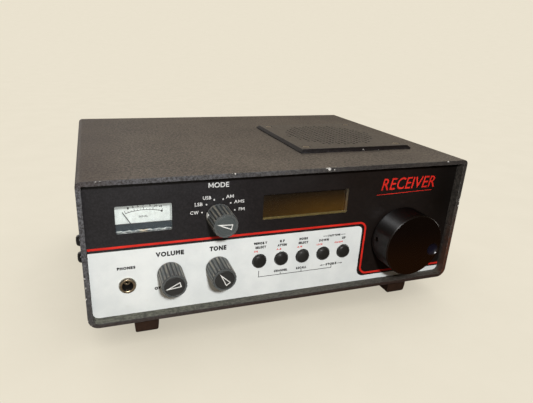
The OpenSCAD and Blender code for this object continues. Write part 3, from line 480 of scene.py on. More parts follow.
CENTRES = {"volume": (-77.8, 42.6), "tone": (-48.1, 42.6), "mode": (-48.1, 77.2), "tuning": (83.0, 50.7)}
for _k in ("volume", "tone", "mode"):
    _g = Graph("cap_black_" + _k)
    _c, _r, _n = spun(_g, CENTRES[_k], *((lin(66, 71, 70), lin(84, 90, 89)) if _k == "mode" else (lin(38, 38, 37), lin(54, 54, 52))), 0.30, 2.4, 1.0)
    MATS["cap_black_" + _k] = _g.end(_g.shader(color=_c, rough=_r, normal=_n, spec=0.5))


for _k in ("volume", "tone", "mode"):
    _g = Graph("knob_grey_" + _k)
    _x, _y, _z = _g.xyz()
    _cx, _cz = CENTRES[_k]
    _dx, _dz = _g.m("SUBTRACT", _x, _cx), _g.m("SUBTRACT", _z, _cz)
    _r = _g.m("SQRT", _g.m("ADD", _g.m("POWER", _dx, 2.0), _g.m("POWER", _dz, 2.0)))
    # depth below the tapering outline: 0 on the ribs, about 0.45 in the flutes
    _d = _g.m("SUBTRACT", _g.m("ADD", 7.75, _g.m("MULTIPLY", _g.m("ADD", _y, 84.1), 0.02)), _r)
    _rib_streak = _g.noise(1.0, 3.0, 0.6, v=_g.join(_g.m("MULTIPLY", _x, 0.55), _g.m("MULTIPLY", _y, 0.10), _g.m("MULTIPLY", _z, 0.55)))
    _fine = _g.noise(3.2, 3.0, 0.6)
    # painted light and shade: lighter ribs with streaks, darker flutes
    _rib_lit = _g.mix(_g.smooth(_rib_streak, 0.40, 0.62), lin(84, 90, 91), lin(136, 132, 121))
    _ny = _g.node("ShaderNodeSeparateXYZ", None, {0: _g.node("ShaderNodeNewGeometry").outputs["Normal"]}).outputs[1]
    _front = _g.smooth(_ny, -0.5, -0.85)
    _col = _g.mix(_g.m("MULTIPLY", _g.smooth(_d, 0.06, 0.34), _g.m("SUBTRACT", 1.0, _front)), _rib_lit, lin(44, 48, 49))
    _col = _g.mix(_g.m("MULTIPLY", _front, 0.8), _col, lin(66, 71, 72))
    _col = _g.mix(_g.smooth(_fine, 0.45, 0.75, 0.0, 0.25), _col, lin(98, 96, 90))
    # painted highlight: lighter, broken lines along the edges
    _edge_highlight = _g.m("MULTIPLY", _g.edge(0.35, 0.03, 0.3), _g.smooth(_g.noise(0.7, 4.0, 0.6), 0.34, 0.56), clamp=True)
    _col = _g.mix(_g.m("MULTIPLY", _edge_highlight, 0.55), _col, lin(166, 166, 160))
    MATS["knob_grey_" + _k] = _g.end(_g.shader(color=_col, rough=_g.ramp(_fine, 0.3, 0.7, 0.38, 0.48), normal=_g.bump(_fine, 0.05, 0.5, _g.bevel(0.12)), spec=0.5))


@material("tuning_black")
def _(g):
    fine = g.noise(2.5, 3.0, 0.6)
    x, y, z = g.xyz()
    cx, cz = CENTRES["tuning"]
    r = g.m("SQRT", g.m("ADD", g.m("POWER", g.m("SUBTRACT", x, cx), 2.0), g.m("POWER", g.m("SUBTRACT", z, cz), 2.0)))
    ring = g.noise(1.0, 3.0, 0.7, v=g.join(g.m("MULTIPLY", r, 1.4), g.m("MULTIPLY", y, 1.4), 0.0))
    hair = g.noise(0.5, 5.0, 0.75, 0.6)
    scr = g.smooth(hair, 0.60, 0.64, 0.0, 1.0)
    ny = g.node("ShaderNodeSeparateXYZ", None, {0: g.node("ShaderNodeNewGeometry").outputs["Normal"]}).outputs[1]
    side = g.smooth(g.m("ABSOLUTE", ny), 0.55, 0.15)
    # painted reflection: the face turns dark brown towards the bottom
    base = g.mix(g.smooth(z, 66.0, 34.0), lin(9, 5, 3), lin(26, 12, 3))
    base = g.mix(side, base, lin(8, 6, 6))
    turn = g.smooth(x, 90.0, 70.0)
    # painted reflection: the dimple is tinted blue
    pit = g.smooth(g.vec("DISTANCE", g.join(x, 0.0, z), (98.74, 0.0, 46.48)), 4.6, 3.4)
    base = g.mix(pit, base, lin(16, 17, 30))
    col = g.mix(g.smooth(fine, 0.45, 0.72, 0.0, 0.35), base, lin(24, 18, 15))
    # painted highlight: lighter edges
    e = g.m("MULTIPLY", g.edge(0.5, 0.03, 0.3), g.smooth(g.noise(0.4, 3.0, 0.6), 0.42, 0.6), clamp=True)
    col = g.mix(g.m("MULTIPLY", e, 0.30), col, lin(96, 92, 90))
    tan = g.node("ShaderNodeTangent", {"direction_type": "RADIAL", "axis": "Y"}).outputs[0]
    rgh = g.m("ADD", g.m("ADD", g.ramp(ring, 0.3, 0.7, 0.24, 0.30), g.m("MULTIPLY", scr, 0.04)), g.m("MULTIPLY", side, 0.15))
    rgh = g.m("SUBTRACT", rgh, g.m("MULTIPLY", pit, 0.10))
    shine = g.mix(side, g.join(g.m("ADD", 0.32, g.m("MULTIPLY", pit, 0.5)), 0.0, 0.0), g.join(g.m("ADD", 0.06, g.m("MULTIPLY", turn, 0.5)), 0.0, 0.0))
    spec = g.node("ShaderNodeSeparateXYZ", None, {0: shine}).outputs[0]
    nrm = g.bump(g.m("ADD", g.m("MULTIPLY", ring, 0.3), g.m("MULTIPLY", fine, 0.25)), 0.010, 0.5, g.bevel(0.25))
    return g.end(g.shader(color=col, rough=rgh, normal=nrm, spec=spec, aniso=g.m("MULTIPLY", side, 0.97), aniso_rot=0.25, tangent=tan))


@material("button_black")
def _(g):
    return plastic(g, lin(28, 28, 26), lin(42, 42, 39), 0.34, 3.5, 0.035, lin(120, 118, 110), 0.35, 0.5, 0.25, bevel=0.2)


@material("foot_rubber")
def _(g):
    return plastic(g, lin(34, 20, 10), lin(52, 33, 20), 0.72, 1.6, 0.12, lin(96, 78, 60), 0.5, 0.25, 0.5, bevel=0.4)


@material("jack_plastic")
def _(g):
    return plastic(g, lin(26, 25, 24), lin(40, 38, 36), 0.38, 3.0, 0.04, lin(104, 98, 90), 0.4, 0.5, 0.25)


@material("terminal_black")
def _(g):
    return plastic(g, lin(24, 24, 24), lin(36, 36, 35), 0.4, 2.4, 0.05, lin(100, 98, 94), 0.4, 0.5, 0.3)


@material("lever_red")
def _(g):
    return plastic(g, lin(168, 22, 16), lin(196, 34, 24), 0.36, 2.4, 0.04, lin(236, 130, 110), 0.4, 0.5, 0.25)


@material("lever_black")
def _(g):
    return plastic(g, lin(22, 22, 22), lin(34, 33, 32), 0.36, 2.4, 0.04, lin(104, 102, 98), 0.4, 0.5, 0.25)


@material("switch_plastic")
def _(g):
    return plastic(g, lin(58, 56, 52), lin(78, 76, 70), 0.5, 2.0, 0.05)


@material("encoder_plastic")
def _(g):
    return plastic(g, lin(30, 44, 66), lin(40, 58, 84), 0.45, 2.0, 0.05)


@material("phenolic")
def _(g):
    fibre = g.noise(0.9, 5.0, 0.7, 1.2)
    col = g.mix(g.smooth(fibre, 0.3, 0.7), lin(112, 62, 30), lin(156, 96, 50))
    return g.end(g.shader(color=col, rough=g.ramp(fibre, 0.3, 0.7, 0.45, 0.6), normal=g.bump(fibre, 0.05, 0.4), spec=0.4))


@material("meter_black")
def _(g):
    return plastic(g, lin(28, 28, 28), lin(40, 40, 39), 0.42, 2.0, 0.05)


@material("chip_resin")
def _(g):
    return plastic(g, lin(24, 24, 25), lin(38, 38, 38), 0.6, 4.0, 0.06, spec=0.35)


@material("capacitor_sleeve")
def _(g):
    x, y, z = g.xyz()
    fine = g.noise(2.0, 3.0, 0.6)
    col = g.mix(g.smooth(fine, 0.3, 0.7), lin(26, 44, 104), lin(40, 60, 128))
    stripe = g.smooth(g.m("SINE", g.m("MULTIPLY", x, 0.9)), 0.86, 0.92)
    col = g.mix(stripe, col, lin(196, 200, 206))
    return g.end(g.shader(color=col, rough=g.ramp(fine, 0.3, 0.7, 0.25, 0.38), normal=g.bump(fine, 0.02, 0.3), spec=0.5))


@material("cable_grey")
def _(g):
    x, y, z = g.xyz()
    rib = g.m("SINE", g.m("MULTIPLY", x, 4.947))
    fine = g.noise(2.0, 3.0, 0.6)
    col = g.mix(g.smooth(rib, -0.4, 0.9), lin(110, 112, 114), lin(164, 166, 168))
    return g.end(g.shader(color=col, rough=g.ramp(fine, 0.3, 0.7, 0.45, 0.6), normal=g.bump(rib, 0.25, 0.6), spec=0.4))


@material("board")
def _(g):
    # solder-masked glass fibre with etched tracks
    x, y, z = g.xyz()
    weave = g.m("MULTIPLY", g.m("SINE", g.m("MULTIPLY", x, 6.0)), g.m("SINE", g.m("MULTIPLY", y, 6.0)))
    n1 = g.noise(0.06, 2.0, 0.4, v=g.join(g.m("MULTIPLY", x, 3.0), y, z))
    tr = g.m("ABSOLUTE", g.m("SUBTRACT", g.m("FRACT", g.m("MULTIPLY", g.m("ADD", g.m("MULTIPLY", n1, 60.0), g.m("MULTIPLY", y, 0.15)), 0.5)), 0.5))
    col = g.mix(g.smooth(tr, 0.18, 0.22), lin(30, 96, 52), lin(18, 66, 38))
    col = g.mix(g.smooth(weave, 0.2, 0.9, 0.0, 0.15), col, lin(60, 130, 80))
    return g.end(g.shader(color=col, rough=0.38, normal=g.bump(g.m("ADD", g.m("MULTIPLY", tr, 1.0), g.m("MULTIPLY", weave, 0.2)), 0.06, 0.5), spec=0.5))


@material("surround")
def _(g):
    return plastic(g, lin(20, 20, 20), lin(30, 29, 28), 0.62, 2.0, 0.08)


@material("cone_paper")
def _(g):
    fib = g.noise(1.4, 5.0, 0.75, 0.8)
    col = g.mix(g.smooth(fib, 0.3, 0.7), lin(26, 25, 24), lin(44, 42, 39))
    return g.end(g.shader(color=col, rough=g.ramp(fib, 0.3, 0.7, 0.78, 0.95), normal=g.bump(fib, 0.15, 0.6), spec=0.2))


# ------------------------------------------------------------------ metals
def metal(g, a, b, rough, brushed=(1.0, 1.0, 1.0), scale=2.0, k=0.03, oxide=None, ox_k=0.5):
    x, y, z = g.xyz()
    v = g.join(g.m("MULTIPLY", x, brushed[0]), g.m("MULTIPLY", y, brushed[1]), g.m("MULTIPLY", z, brushed[2]))
    br = g.noise(scale, 4.0, 0.65, v=v)
    wide = g.noise(0.12, 4.0, 0.6)
    col = g.mix(g.smooth(g.m("ADD", g.m("MULTIPLY", br, 0.6), g.m("MULTIPLY", wide, 0.4)), 0.36, 0.64), a, b)
    if oxide:
        col = g.mix(g.smooth(g.noise(0.8, 5.0, 0.7), 0.52, 0.7, 0.0, ox_k), col, oxide)
    rgh = g.m("ADD", g.ramp(br, 0.3, 0.7, rough - 0.06, rough + 0.08), g.ramp(wide, 0.3, 0.7, -0.04, 0.05))
    return g.end(g.shader(color=col, rough=rgh, metal=1.0, normal=g.bump(br, k, 0.6, g.bevel(0.12))))


@material("panel_metal")
def _(g):
    return metal(g, lin(176, 178, 180), lin(202, 204, 206), 0.38, (0.2, 3.0, 3.0), 1.0, 0.03)


@material("zinc")
def _(g):
    return metal(g, lin(176, 176, 168), lin(210, 208, 198), 0.34, (1, 1, 1), 1.5, 0.03, lin(140, 134, 116), 0.4)


@material("screw_steel")
def _(g):
    return metal(g, lin(120, 114, 104), lin(156, 150, 138), 0.42, (1, 1, 1), 2.0, 0.04, lin(96, 84, 66), 0.6)


@material("basket")
def _(g):
    return metal(g, lin(150, 150, 148), lin(180, 180, 176), 0.4, (1, 1, 1), 1.2, 0.04)


@material("can_metal")
def _(g):
    return metal(g, lin(184, 184, 182), lin(214, 214, 210), 0.32, (3, 0.4, 0.4), 1.2, 0.02)


@material("brass_post")
def _(g):
    return metal(g, lin(176, 140, 70), lin(206, 170, 96), 0.3, (1, 1, 0.3), 2.0, 0.02)


@material("pot_steel")
def _(g):
    return metal(g, lin(160, 158, 150), lin(190, 188, 180), 0.36, (1, 1, 1), 1.4, 0.03)


@material("nickel")
def _(g):
    return metal(g, lin(188, 184, 172), lin(216, 212, 200), 0.24, (1, 1, 1), 2.0, 0.02, lin(150, 132, 100), 0.45)


@material("bronze_ring")
def _(g):
    return metal(g, lin(150, 132, 108), lin(192, 174, 146), 0.34, (1, 1, 1), 2.5, 0.02, lin(104, 84, 62), 0.6)


@material("bronze_dark")
def _(g):
    return metal(g, lin(66, 52, 40), lin(92, 76, 58), 0.36, (1, 1, 1), 2.5, 0.02, lin(44, 34, 26), 0.6)


@material("socket_nickel")
def _(g):
    return metal(g, lin(178, 176, 168), lin(208, 206, 198), 0.26, (1, 1, 1), 1.8, 0.02, lin(146, 138, 118), 0.4)


@material("shaft_steel")
def _(g):
    return metal(g, lin(176, 176, 172), lin(206, 206, 202), 0.28, (0.3, 3, 3), 1.5, 0.02)


@material("black_screw")
def _(g):
    fine = g.noise(3.0, 3.0, 0.6)
    e = g.m("MULTIPLY", g.edge(0.3, 0.03, 0.3), g.smooth(g.noise(1.0, 4.0, 0.6), 0.4, 0.6), clamp=True)
    col = g.mix(g.smooth(fine, 0.35, 0.65), lin(18, 17, 17), lin(30, 28, 28))
    col = g.mix(g.m("MULTIPLY", e, 0.45), col, lin(120, 116, 110))
    return g.end(g.shader(color=col, rough=g.ramp(fine, 0.3, 0.7, 0.3, 0.44), metal=0.35, normal=g.bump(fine, 0.03, 0.5, g.bevel(0.15)), spec=0.5))


@material("magnet")
def _(g):
    fine = g.noise(1.2, 4.0, 0.7)
    col = g.mix(g.smooth(fine, 0.3, 0.7), lin(44, 44, 46), lin(66, 66, 68))
    return g.end(g.shader(color=col, rough=g.ramp(fine, 0.3, 0.7, 0.5, 0.7), metal=0.3, normal=g.bump(fine, 0.08, 0.5), spec=0.4))


@material("pointer_white")
def _(g):
    fine = g.noise(5.0, 3.0, 0.7)
    col = g.mix(g.smooth(fine, 0.35, 0.7), lin(214, 214, 208), lin(244, 244, 238))
    return g.end(g.shader(color=col, rough=g.ramp(fine, 0.3, 0.7, 0.4, 0.55), normal=g.bump(fine, 0.015, 0.3), spec=0.35))


# ------------------------------------------------------------------ assign to the carried-over parts
SLOT_OF_NODE = {}
for name, o in NODES.items():
    for i, s in enumerate(o.material_slots):
        base = s.material.name.split(".")[0]
        SLOT_OF_NODE[name] = base
        if base == "cap_black":
            new = MATS["cap_black_" + name.split("_")[0]]
        elif base == "knob_grey" and "knob_grey_" + name.split("_")[0] in MATS:
            new = MATS["knob_grey_" + name.split("_")[0]]
        elif base == "nickel" and name == "phones_ring":
            new = MATS["bronze_dark"]
        else:
            new = MATS.get(base)
        if new is None:
            raise SystemExit("no material for slot " + base)
        o.material_slots[i].material = new


# ------------------------------------------------------------------ printed artwork
# All artwork is described in panel coordinates: u from the left side of the case,
# v from the case bottom, both in millimetres; the film face is at y = -83.
UX, VZ, FILM = -126.5, 15.0, -83.0


def loops_to_mesh(name, shapes, y_front, y_back, mat, body, to_xz=None, chamfer=0.0):
    """shapes: list of [outer, hole, ...], each a list of (u, v) points. Closed prisms between y_back and y_front."""
    verts, faces = [], []
    for shape in shapes:
        loops = []
        for k, loop in enumerate(shape):
            area = sum(a[0] * b[1] - b[0] * a[1] for a, b in zip(loop, loop[1:] + loop[:1]))
            want = area > 0 if k == 0 else area < 0
            loops.append(list(loop) if want else list(reversed(loop)))
        base = len(verts)
        flat = [p for l in loops for p in l]
        n = len(flat)
        for p in flat:
            x, z = (p[0] + UX, p[1] + VZ) if to_xz is None else to_xz(p)
            verts.append((x * MM, y_front * MM, z * MM))
        for p in flat:
            x, z = (p[0] + UX, p[1] + VZ) if to_xz is None else to_xz(p)
            verts.append((x * MM, y_back * MM, z * MM))
        tris = tessellate_polygon([[Vector((p[0], p[1], 0)) for p in l] for l in loops])
        for t in tris:
            a, b, c = t
            pa, pb, pc = flat[a], flat[b], flat[c]
            ar = (pb[0] - pa[0]) * (pc[1] - pa[1]) - (pc[0] - pa[0]) * (pb[1] - pa[1])
            if abs(ar) < 1e-9:
                continue
            if ar < 0:
                a, b, c = a, c, b
            # counter-clockwise in (u, v) seen from the front faces -Y
            faces.append((base + a, base + b, base + c))
            faces.append((base + n + a, base + n + c, base + n + b))
        k = 0
        for l in loops:
            m_ = len(l)
            for i in range(m_):
                p, q = k + i, k + (i + 1) % m_
                faces.append((base + p, base + n + p, base + n + q, base + q))
            k += m_
    me = bpy.data.meshes.new(name)
    me.from_pydata(verts, [], faces)
    me.validate()
    me.update()
    o = bpy.data.objects.new(name, me)
    scene.collection.objects.link(o)
    me.materials.append(MATS[mat])
    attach(o, body)
    return o


def arc_pts(cx, cy, r, a0, a1, n):
    return [(cx + r * math.cos(math.radians(a0 + (a1 - a0) * i / n)), cy + r * math.sin(math.radians(a0 + (a1 - a0) * i / n))) for i in range(n + 1)]


def circle(cx, cy, r, n=48):
    return [(cx + r * math.cos(2 * math.pi * i / n), cy + r * math.sin(2 * math.pi * i / n)) for i in range(n)]


def ribbon(path, w):
    """Closed outline of a line of width w along path, with mitred joints."""
    left, right = [], []
    n = len(path)
    for i, p in enumerate(path):
        a = path[max(i - 1, 0)]
        b = path[min(i + 1, n - 1)]
        d1 = (p[0] - a[0], p[1] - a[1]) if i > 0 else (b[0] - p[0], b[1] - p[1])
        d2 = (b[0] - p[0], b[1] - p[1]) if i < n - 1 else d1
        l1, l2 = math.hypot(*d1), math.hypot(*d2)
        n1 = (-d1[1] / l1, d1[0] / l1)
        n2 = (-d2[1] / l2, d2[0] / l2)
        m_ = (n1[0] + n2[0], n1[1] + n2[1])
        k = (m_[0] * n1[0] + m_[1] * n1[1])
        m_ = (m_[0] / k, m_[1] / k)
        left.append((p[0] + m_[0] * w / 2, p[1] + m_[1] * w / 2))
        right.append((p[0] - m_[0] * w / 2, p[1] - m_[1] * w / 2))
    return left + right[::-1]


def rect(x0, x1, y0, y1):
    return [(x0, y0), (x1, y0), (x1, y1), (x0, y1)]


def uv(x, z):
    return (x - UX, z - VZ)


# white field with its stepped, rounded outline and clear rings round everything that comes through it
outline = [(2.9, 6.6)] + arc_pts(6.6, 6.6, 3.7, 190, 270, 8) + arc_pts(246.4, 6.6, 3.7, 270, 358, 8)
outline = outline + [(185.5, 6.6)] + arc_pts(185.5, 12.1, 5.5, 266, 184, 8) + [(180.0, 12.1)]
outline = outline + arc_pts(176.3, 41.8, 3.7, 0, 90, 8) + [(2.9, 45.5)]
holes = [circle(*uv(*CENTRES["volume"]), 3.9), circle(*uv(*CENTRES["tone"]), 3.9), circle(*uv(-102.9, 37.7), 4.9)]
holes += [circle(*uv(-20.5 + 15.2 * i, 43.2), 4.95) for i in range(5)]
loops_to_mesh("panel_white_field", [[outline] + holes], FILM - 0.035, FILM + 0.01, "ink_white", "receiver")

red_path = [(2.9, 47.8)] + arc_pts(177.5, 42.9, 4.9, 90, 0, 10) + arc_pts(187.9, 14.0, 5.5, 180, 270, 10) + [(250.1, 8.5)]
loops_to_mesh("panel_red_line", [[ribbon(red_path, 1.4)]], FILM - 0.035, FILM + 0.01, "ink_red", "receiver")


GLYPHS = {}


def glyph(ch, bold):
    """Mesh of one character in its own plane from the built-in font, moved so that its left edge is at 0."""
    key = (ch, bold)
    if key not in GLYPHS:
        if ch == "M":
            cap = glyph("E", bold)[3]
            s = 0.098 + 2 * bold
            w, h, v0 = 0.70, cap, 0.10 * cap
            d = 1.75 * s
            k = (h - v0 - d) / (w / 2 - 1.1 * s)
            ring = [(0, 0), (s, 0), (s, v0 + k * (w / 2 - s)), (w / 2, v0), (w - s, v0 + k * (w / 2 - s)), (w - s, 0), (w, 0),
                    (w, h), (w - 1.1 * s, h), (w / 2, v0 + d), (1.1 * s, h), (0, h)]
            n = len(ring)
            verts = [(p[0], p[1], 0.5) for p in ring] + [(p[0], p[1], -0.5) for p in ring]
            faces = []
            for a, b, c in tessellate_polygon([[Vector((p[0], p[1], 0)) for p in ring]]):
                ar = (ring[b][0] - ring[a][0]) * (ring[c][1] - ring[a][1]) - (ring[c][0] - ring[a][0]) * (ring[b][1] - ring[a][1])
                if ar < 0:
                    a, b, c = a, c, b
                faces.append((a, b, c))
                faces.append((n + a, n + c, n + b))
            for i in range(n):
                q = (i + 1) % n
                faces.append((i, n + i, n + q, q))
            GLYPHS[key] = (verts, faces, w, h)
            return GLYPHS[key]
        cu = bpy.data.curves.new("glyph", "FONT")
        cu.body = ch
        cu.size = 1.0
        cu.resolution_u = 3
        cu.offset = bold
        cu.extrude = 0.5
        ob = bpy.data.objects.new("glyph", cu)
        scene.collection.objects.link(ob)
        bpy.context.view_layer.update()
        me = bpy.data.meshes.new_from_object(ob.evaluated_get(bpy.context.evaluated_depsgraph_get()))
        x0 = min(v.co[0] for v in me.vertices)
        x1 = max(v.co[0] for v in me.vertices)
        y1 = max(v.co[1] for v in me.vertices)
        verts = [(v.co[0] - x0, v.co[1], v.co[2]) for v in me.vertices]
        faces = [tuple(p.vertices) for p in me.polygons]
        bpy.data.objects.remove(ob)
        bpy.data.curves.remove(cu)
        bpy.data.meshes.remove(me)
        GLYPHS[key] = (verts, faces, x1 - x0, y1)
    return GLYPHS[key]


def text_shapes(word, bold=0.0, gap=0.10):
    verts, faces, x = [], [], 0.0
    prev = " "
    for ch in word:
        if ch == " ":
            x += 0.26
            prev = ch
            continue
        if prev != " ":
            close = (prev in "LFTPVWYAK") + (ch in "AVWTYJ")
            x += gap - 0.022 * close - (0.05 if prev + ch in ("LU", "AT", "AV", "VO", "TO", "TT") else 0.0)
        gv, gf, w, h = glyph(ch, bold)
        base = len(verts)
        verts += [(v[0] + x, v[1], v[2]) for v in gv]
        faces += [tuple(base + i for i in f) for f in gf]
        x += w
        prev = ch
    return verts, faces


def words(name, items, y_front, y_back, mat, body="receiver", bold=0.012, extra=None, place=None, slant=0.0):
    """items: (word, u0, u1, v0, v1). All the words of one ink become one piece; extra adds plain outlines to it."""
    verts, faces = [], []
    for word, u0, u1, v0, v1 in items:
        tv, tf = text_shapes(word, bold)
        tv = [(v[0] + slant * v[1], v[1], v[2]) for v in tv]
        xs = [v[0] for v in tv]
        ys = [v[1] for v in tv]
        x0, x1, y0, y1 = min(xs), max(xs), min(ys), max(ys)
        base = len(verts)
        for v in tv:
            u = u0 + (v[0] - x0) / (x1 - x0) * (u1 - u0)
            w = v0 + (v[1] - y0) / (y1 - y0) * (v1 - v0)
            x, z = (u + UX, w + VZ) if place is None else place(u, w)
            y = y_front if v[2] > 0 else y_back
            verts.append((x * MM, y * MM, z * MM))
        faces += [tuple(base + i for i in f) for f in tf]
    for shape in extra or []:
        loop = shape
        area = sum(a[0] * b[1] - b[0] * a[1] for a, b in zip(loop, loop[1:] + loop[:1]))
        if area < 0:
            loop = loop[::-1]
        base, n = len(verts), len(loop)
        for yy in (y_front, y_back):
            for p in loop:
                x, z = (p[0] + UX, p[1] + VZ) if place is None else place(p[0], p[1])
                verts.append((x * MM, yy * MM, z * MM))
        for a, b, c in tessellate_polygon([[Vector((p[0], p[1], 0)) for p in loop]]):
            pa, pb, pc = loop[a], loop[b], loop[c]
            ar = (pb[0] - pa[0]) * (pc[1] - pa[1]) - (pc[0] - pa[0]) * (pb[1] - pa[1])
            if abs(ar) < 1e-9:
                continue
            if ar < 0:
                a, b, c = a, c, b
            faces.append((base + a, base + b, base + c))
            faces.append((base + n + a, base + n + c, base + n + b))
        for i in range(n):
            p, q = i, (i + 1) % n
            faces.append((base + p, base + n + p, base + n + q, base + q))
    me = bpy.data.meshes.new(name)
    me.from_pydata(verts, [], faces)
    me.validate()
    me.update()
    o = bpy.data.objects.new(name, me)
    scene.collection.objects.link(o)
    me.materials.append(MATS[mat])
    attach(o, body)
    return o


M = uv(*CENTRES["mode"])
dots = [circle(M[0] + 10.45 * math.cos(math.radians(a)), M[1] + 10.45 * math.sin(math.radians(a)), 0.48, 14) for a in (165, 135, 105, 75, 45, 15)]
words("legend_white", [
    ("MODE", 72.1, 84.5, 79.8, 82.9), ("CW", 61.3, 66.3, 64.0, 66.2), ("LSB", 64.0, 68.7, 69.0, 71.2),
    ("USB", 68.8, 73.8, 72.8, 74.9), ("AM", 82.8, 87.6, 72.7, 74.8), ("AMS", 87.9, 94.3, 69.2, 71.2),
    ("FM", 90.9, 94.7, 64.2, 66.2)], FILM - 0.035, FILM + 0.01, "ink_legend", bold=0.014, extra=dots)

line_w = 0.36
legend_lines = [
    ribbon([(106.0, 21.0), (106.0, 16.5), (159.0, 16.5), (159.0, 20.0)], 0.42),
    ribbon([(121.3, 16.6), (121.3, 18.0)], 0.42), ribbon([(136.4, 16.6), (136.4, 18.0)], 0.42),
    ribbon([(150.7, 40.75), (153.9, 40.75)], line_w), ribbon([(163.9, 40.75), (167.2, 40.75)], line_w),
    ribbon([(151.2, 19.2), (154.0, 19.2)], line_w), ribbon([(163.4, 19.2), (166.6, 19.2)], line_w),
    [(150.3, 19.2), (151.6, 19.75), (151.6, 18.65)], [(167.5, 19.2), (166.2, 19.75), (166.2, 18.65)],
]
words("legend_black", [
    ("VOLUME", 40.5, 57.4, 38.9, 42.1), ("TONE", 73.1, 83.8, 38.9, 42.1)],
    FILM - 0.06, FILM - 0.02, "ink_black", bold=0.062)
words("legend_small", [
    ("PHONES", 18.2, 28.6, 33.1, 35.0), ("OFF", 39.2, 44.4, 17.1, 19.1),
    ("MEMORY", 101.9, 110.9, 39.8, 41.55), ("SELECT", 103.0, 110.2, 36.95, 38.7),
    ("R F", 119.6, 122.8, 39.8, 41.55), ("ATTEN", 118.0, 124.6, 36.95, 38.7),
    ("NOISE", 133.3, 139.3, 39.8, 41.55), ("SELECT", 132.9, 139.9, 36.95, 38.7),
    ("DOWN", 147.8, 155.0, 37.1, 38.9), ("UP", 165.0, 167.7, 37.25, 39.0),
    ("FAST TUNE", 154.4, 163.4, 40.05, 41.5),
    ("CHANNEL", 116.7, 126.3, 18.5, 20.25), ("RECALL", 132.7, 140.1, 18.5, 20.25), ("STORE", 154.6, 162.8, 18.5, 20.25)],
    FILM - 0.06, FILM - 0.02, "ink_black", bold=0.085, extra=legend_lines)
words("legend_red", [
    ("ON", 102.2, 104.7, 34.5, 35.7), ("A-B", 117.4, 120.9, 34.5, 35.7), ("A-M", 132.2, 135.6, 34.5, 35.7),
    ("LOCK", 146.3, 150.8, 34.5, 35.7), ("ON/OFF", 159.6, 166.0, 34.7, 35.9)],
    FILM - 0.06, FILM - 0.02, "ink_red", bold=0.055)
words("legend_receiver", [("RECEIVER", 190.6, 233.4, 69.9, 78.2)], FILM - 0.035, FILM + 0.01, "ink_red", bold=0.004, slant=0.20,
      extra=[[(187.7, 66.7), (231.8, 67.7), (231.8, 68.05), (187.7, 67.05)]])

# ------------------------------------------------------------------ signal meter
SC = -75.5  # face of the scale plate


def meter_place(u, v):
    return (u, v)


mc = (-90.95, 45.15)
arc_r = 36.5


def on_arc(a, r):
    return (mc[0] + r * math.cos(math.radians(a)), mc[1] + r * math.sin(math.radians(a)))


ticks = []
for i in range(13):
    a = 106.5 - i * 33.0 / 12
    ln = 1.6 if i % 3 == 0 else 0.9
    w = 0.26 if i % 3 == 0 else 0.18
    ticks.append(ribbon([on_arc(a, arc_r - 0.05), on_arc(a, arc_r + ln)], w))
scale_arc = ribbon([on_arc(a, arc_r) for a in [106.5 - 33.0 * k / 24 for k in range(25)]], 0.3)
red_arc = ribbon([on_arc(a, arc_r + 0.62) for a in [87.0 - 13.5 * k / 10 for k in range(11)]], 0.34)
dot = circle(*on_arc(73.5, arc_r), 0.62, 16)
mw = []
for word, a in (("1", 103.0), ("3", 99.0), ("5", 94.7), ("7", 90.3), ("9", 84.6), ("20", 80.0), ("40", 75.6)):
    c = on_arc(a, arc_r + 2.6)
    hw = 0.42 if len(word) == 1 else 0.86
    mw.append((word, c[0] - hw, c[0] + hw, c[1] - 0.62, c[1] + 0.62))
mw.append(("SIGNAL", -94.0, -88.7, 77.1, 78.2))
words("meter_print", mw, SC - 0.04, SC + 0.01, "ink_black", bold=0.012,
      extra=[scale_arc, dot] + ticks, place=meter_place)

# lower band of the movement cover, seen under the scale
loops_to_mesh("meter_band", [[rect(-107.9, -75.4, 70.6, 74.9)]], -79.42, -79.32, "meter_band", "receiver",
              to_xz=lambda p: p)

# light-catching lower lip of the clear meter moulding, gently wavy along its length
lip_v, lip_f = [], []
N, K = 64, 8
for i in range(N + 1):
    x = -107.1 + (31.0 * i / N)
    amp = 0.14 * math.sin(i * 0.55) + 0.09 * math.sin(i * 1.31 + 0.7)
    for k in range(K):
        a = 2 * math.pi * k / K
        lip_v.append((x * MM, (-80.9 + 0.75 * math.cos(a)) * MM, (71.35 + amp + 0.26 * math.sin(a)) * MM))
for i in range(N):
    for k in range(K):
        a, b = i * K + k, i * K + (k + 1) % K
        lip_f.append((a, b, b + K, a + K))
lip_f.append(tuple(range(K))[::-1])
lip_f.append(tuple(N * K + k for k in range(K)))
me = bpy.data.meshes.new("meter_lip")
me.from_pydata(lip_v, [], lip_f)
for p in me.polygons:
    p.use_smooth = len(p.vertices) == 4
me.materials.append(MATS["meter_lip"])
lip = bpy.data.objects.new("meter_lip", me)
scene.collection.objects.link(lip)
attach(lip, "receiver")

# ------------------------------------------------------------------ display cell
loops_to_mesh("lcd_cell", [[rect(-18.9, 38.7, 72.1, 87.4)]], -80.05, -79.42, "lcd_glass", "receiver", to_xz=lambda p: p)
seg = []


def digit(x, z, h, w, t):
    g_ = 0.12
    s = []
    s.append([(x + g_, z + h), (x + w - g_, z + h), (x + w - t, z + h - t), (x + t, z + h - t)])
    s.append([(x + g_, z), (x + t, z + t), (x + w - t, z + t), (x + w - g_, z)][::-1])
    m_ = z + h / 2
    s.append([(x + t, m_ + t / 2), (x + w - t, m_ + t / 2), (x + w - t / 2, m_), (x + w - t, m_ - t / 2), (x + t, m_ - t / 2), (x + t / 2, m_)])
    for lo, hi in ((z + g_, m_ - g_), (m_ + g_, z + h - g_)):
        s.append([(x, lo), (x + t, lo + t), (x + t, hi - t * 0.5), (x + t / 2, hi), (x, hi - g_)])
        s.append([(x + w, lo), (x + w, hi - g_), (x + w - t / 2, hi), (x + w - t, hi - t * 0.5), (x + w - t, lo + t)])
    return s


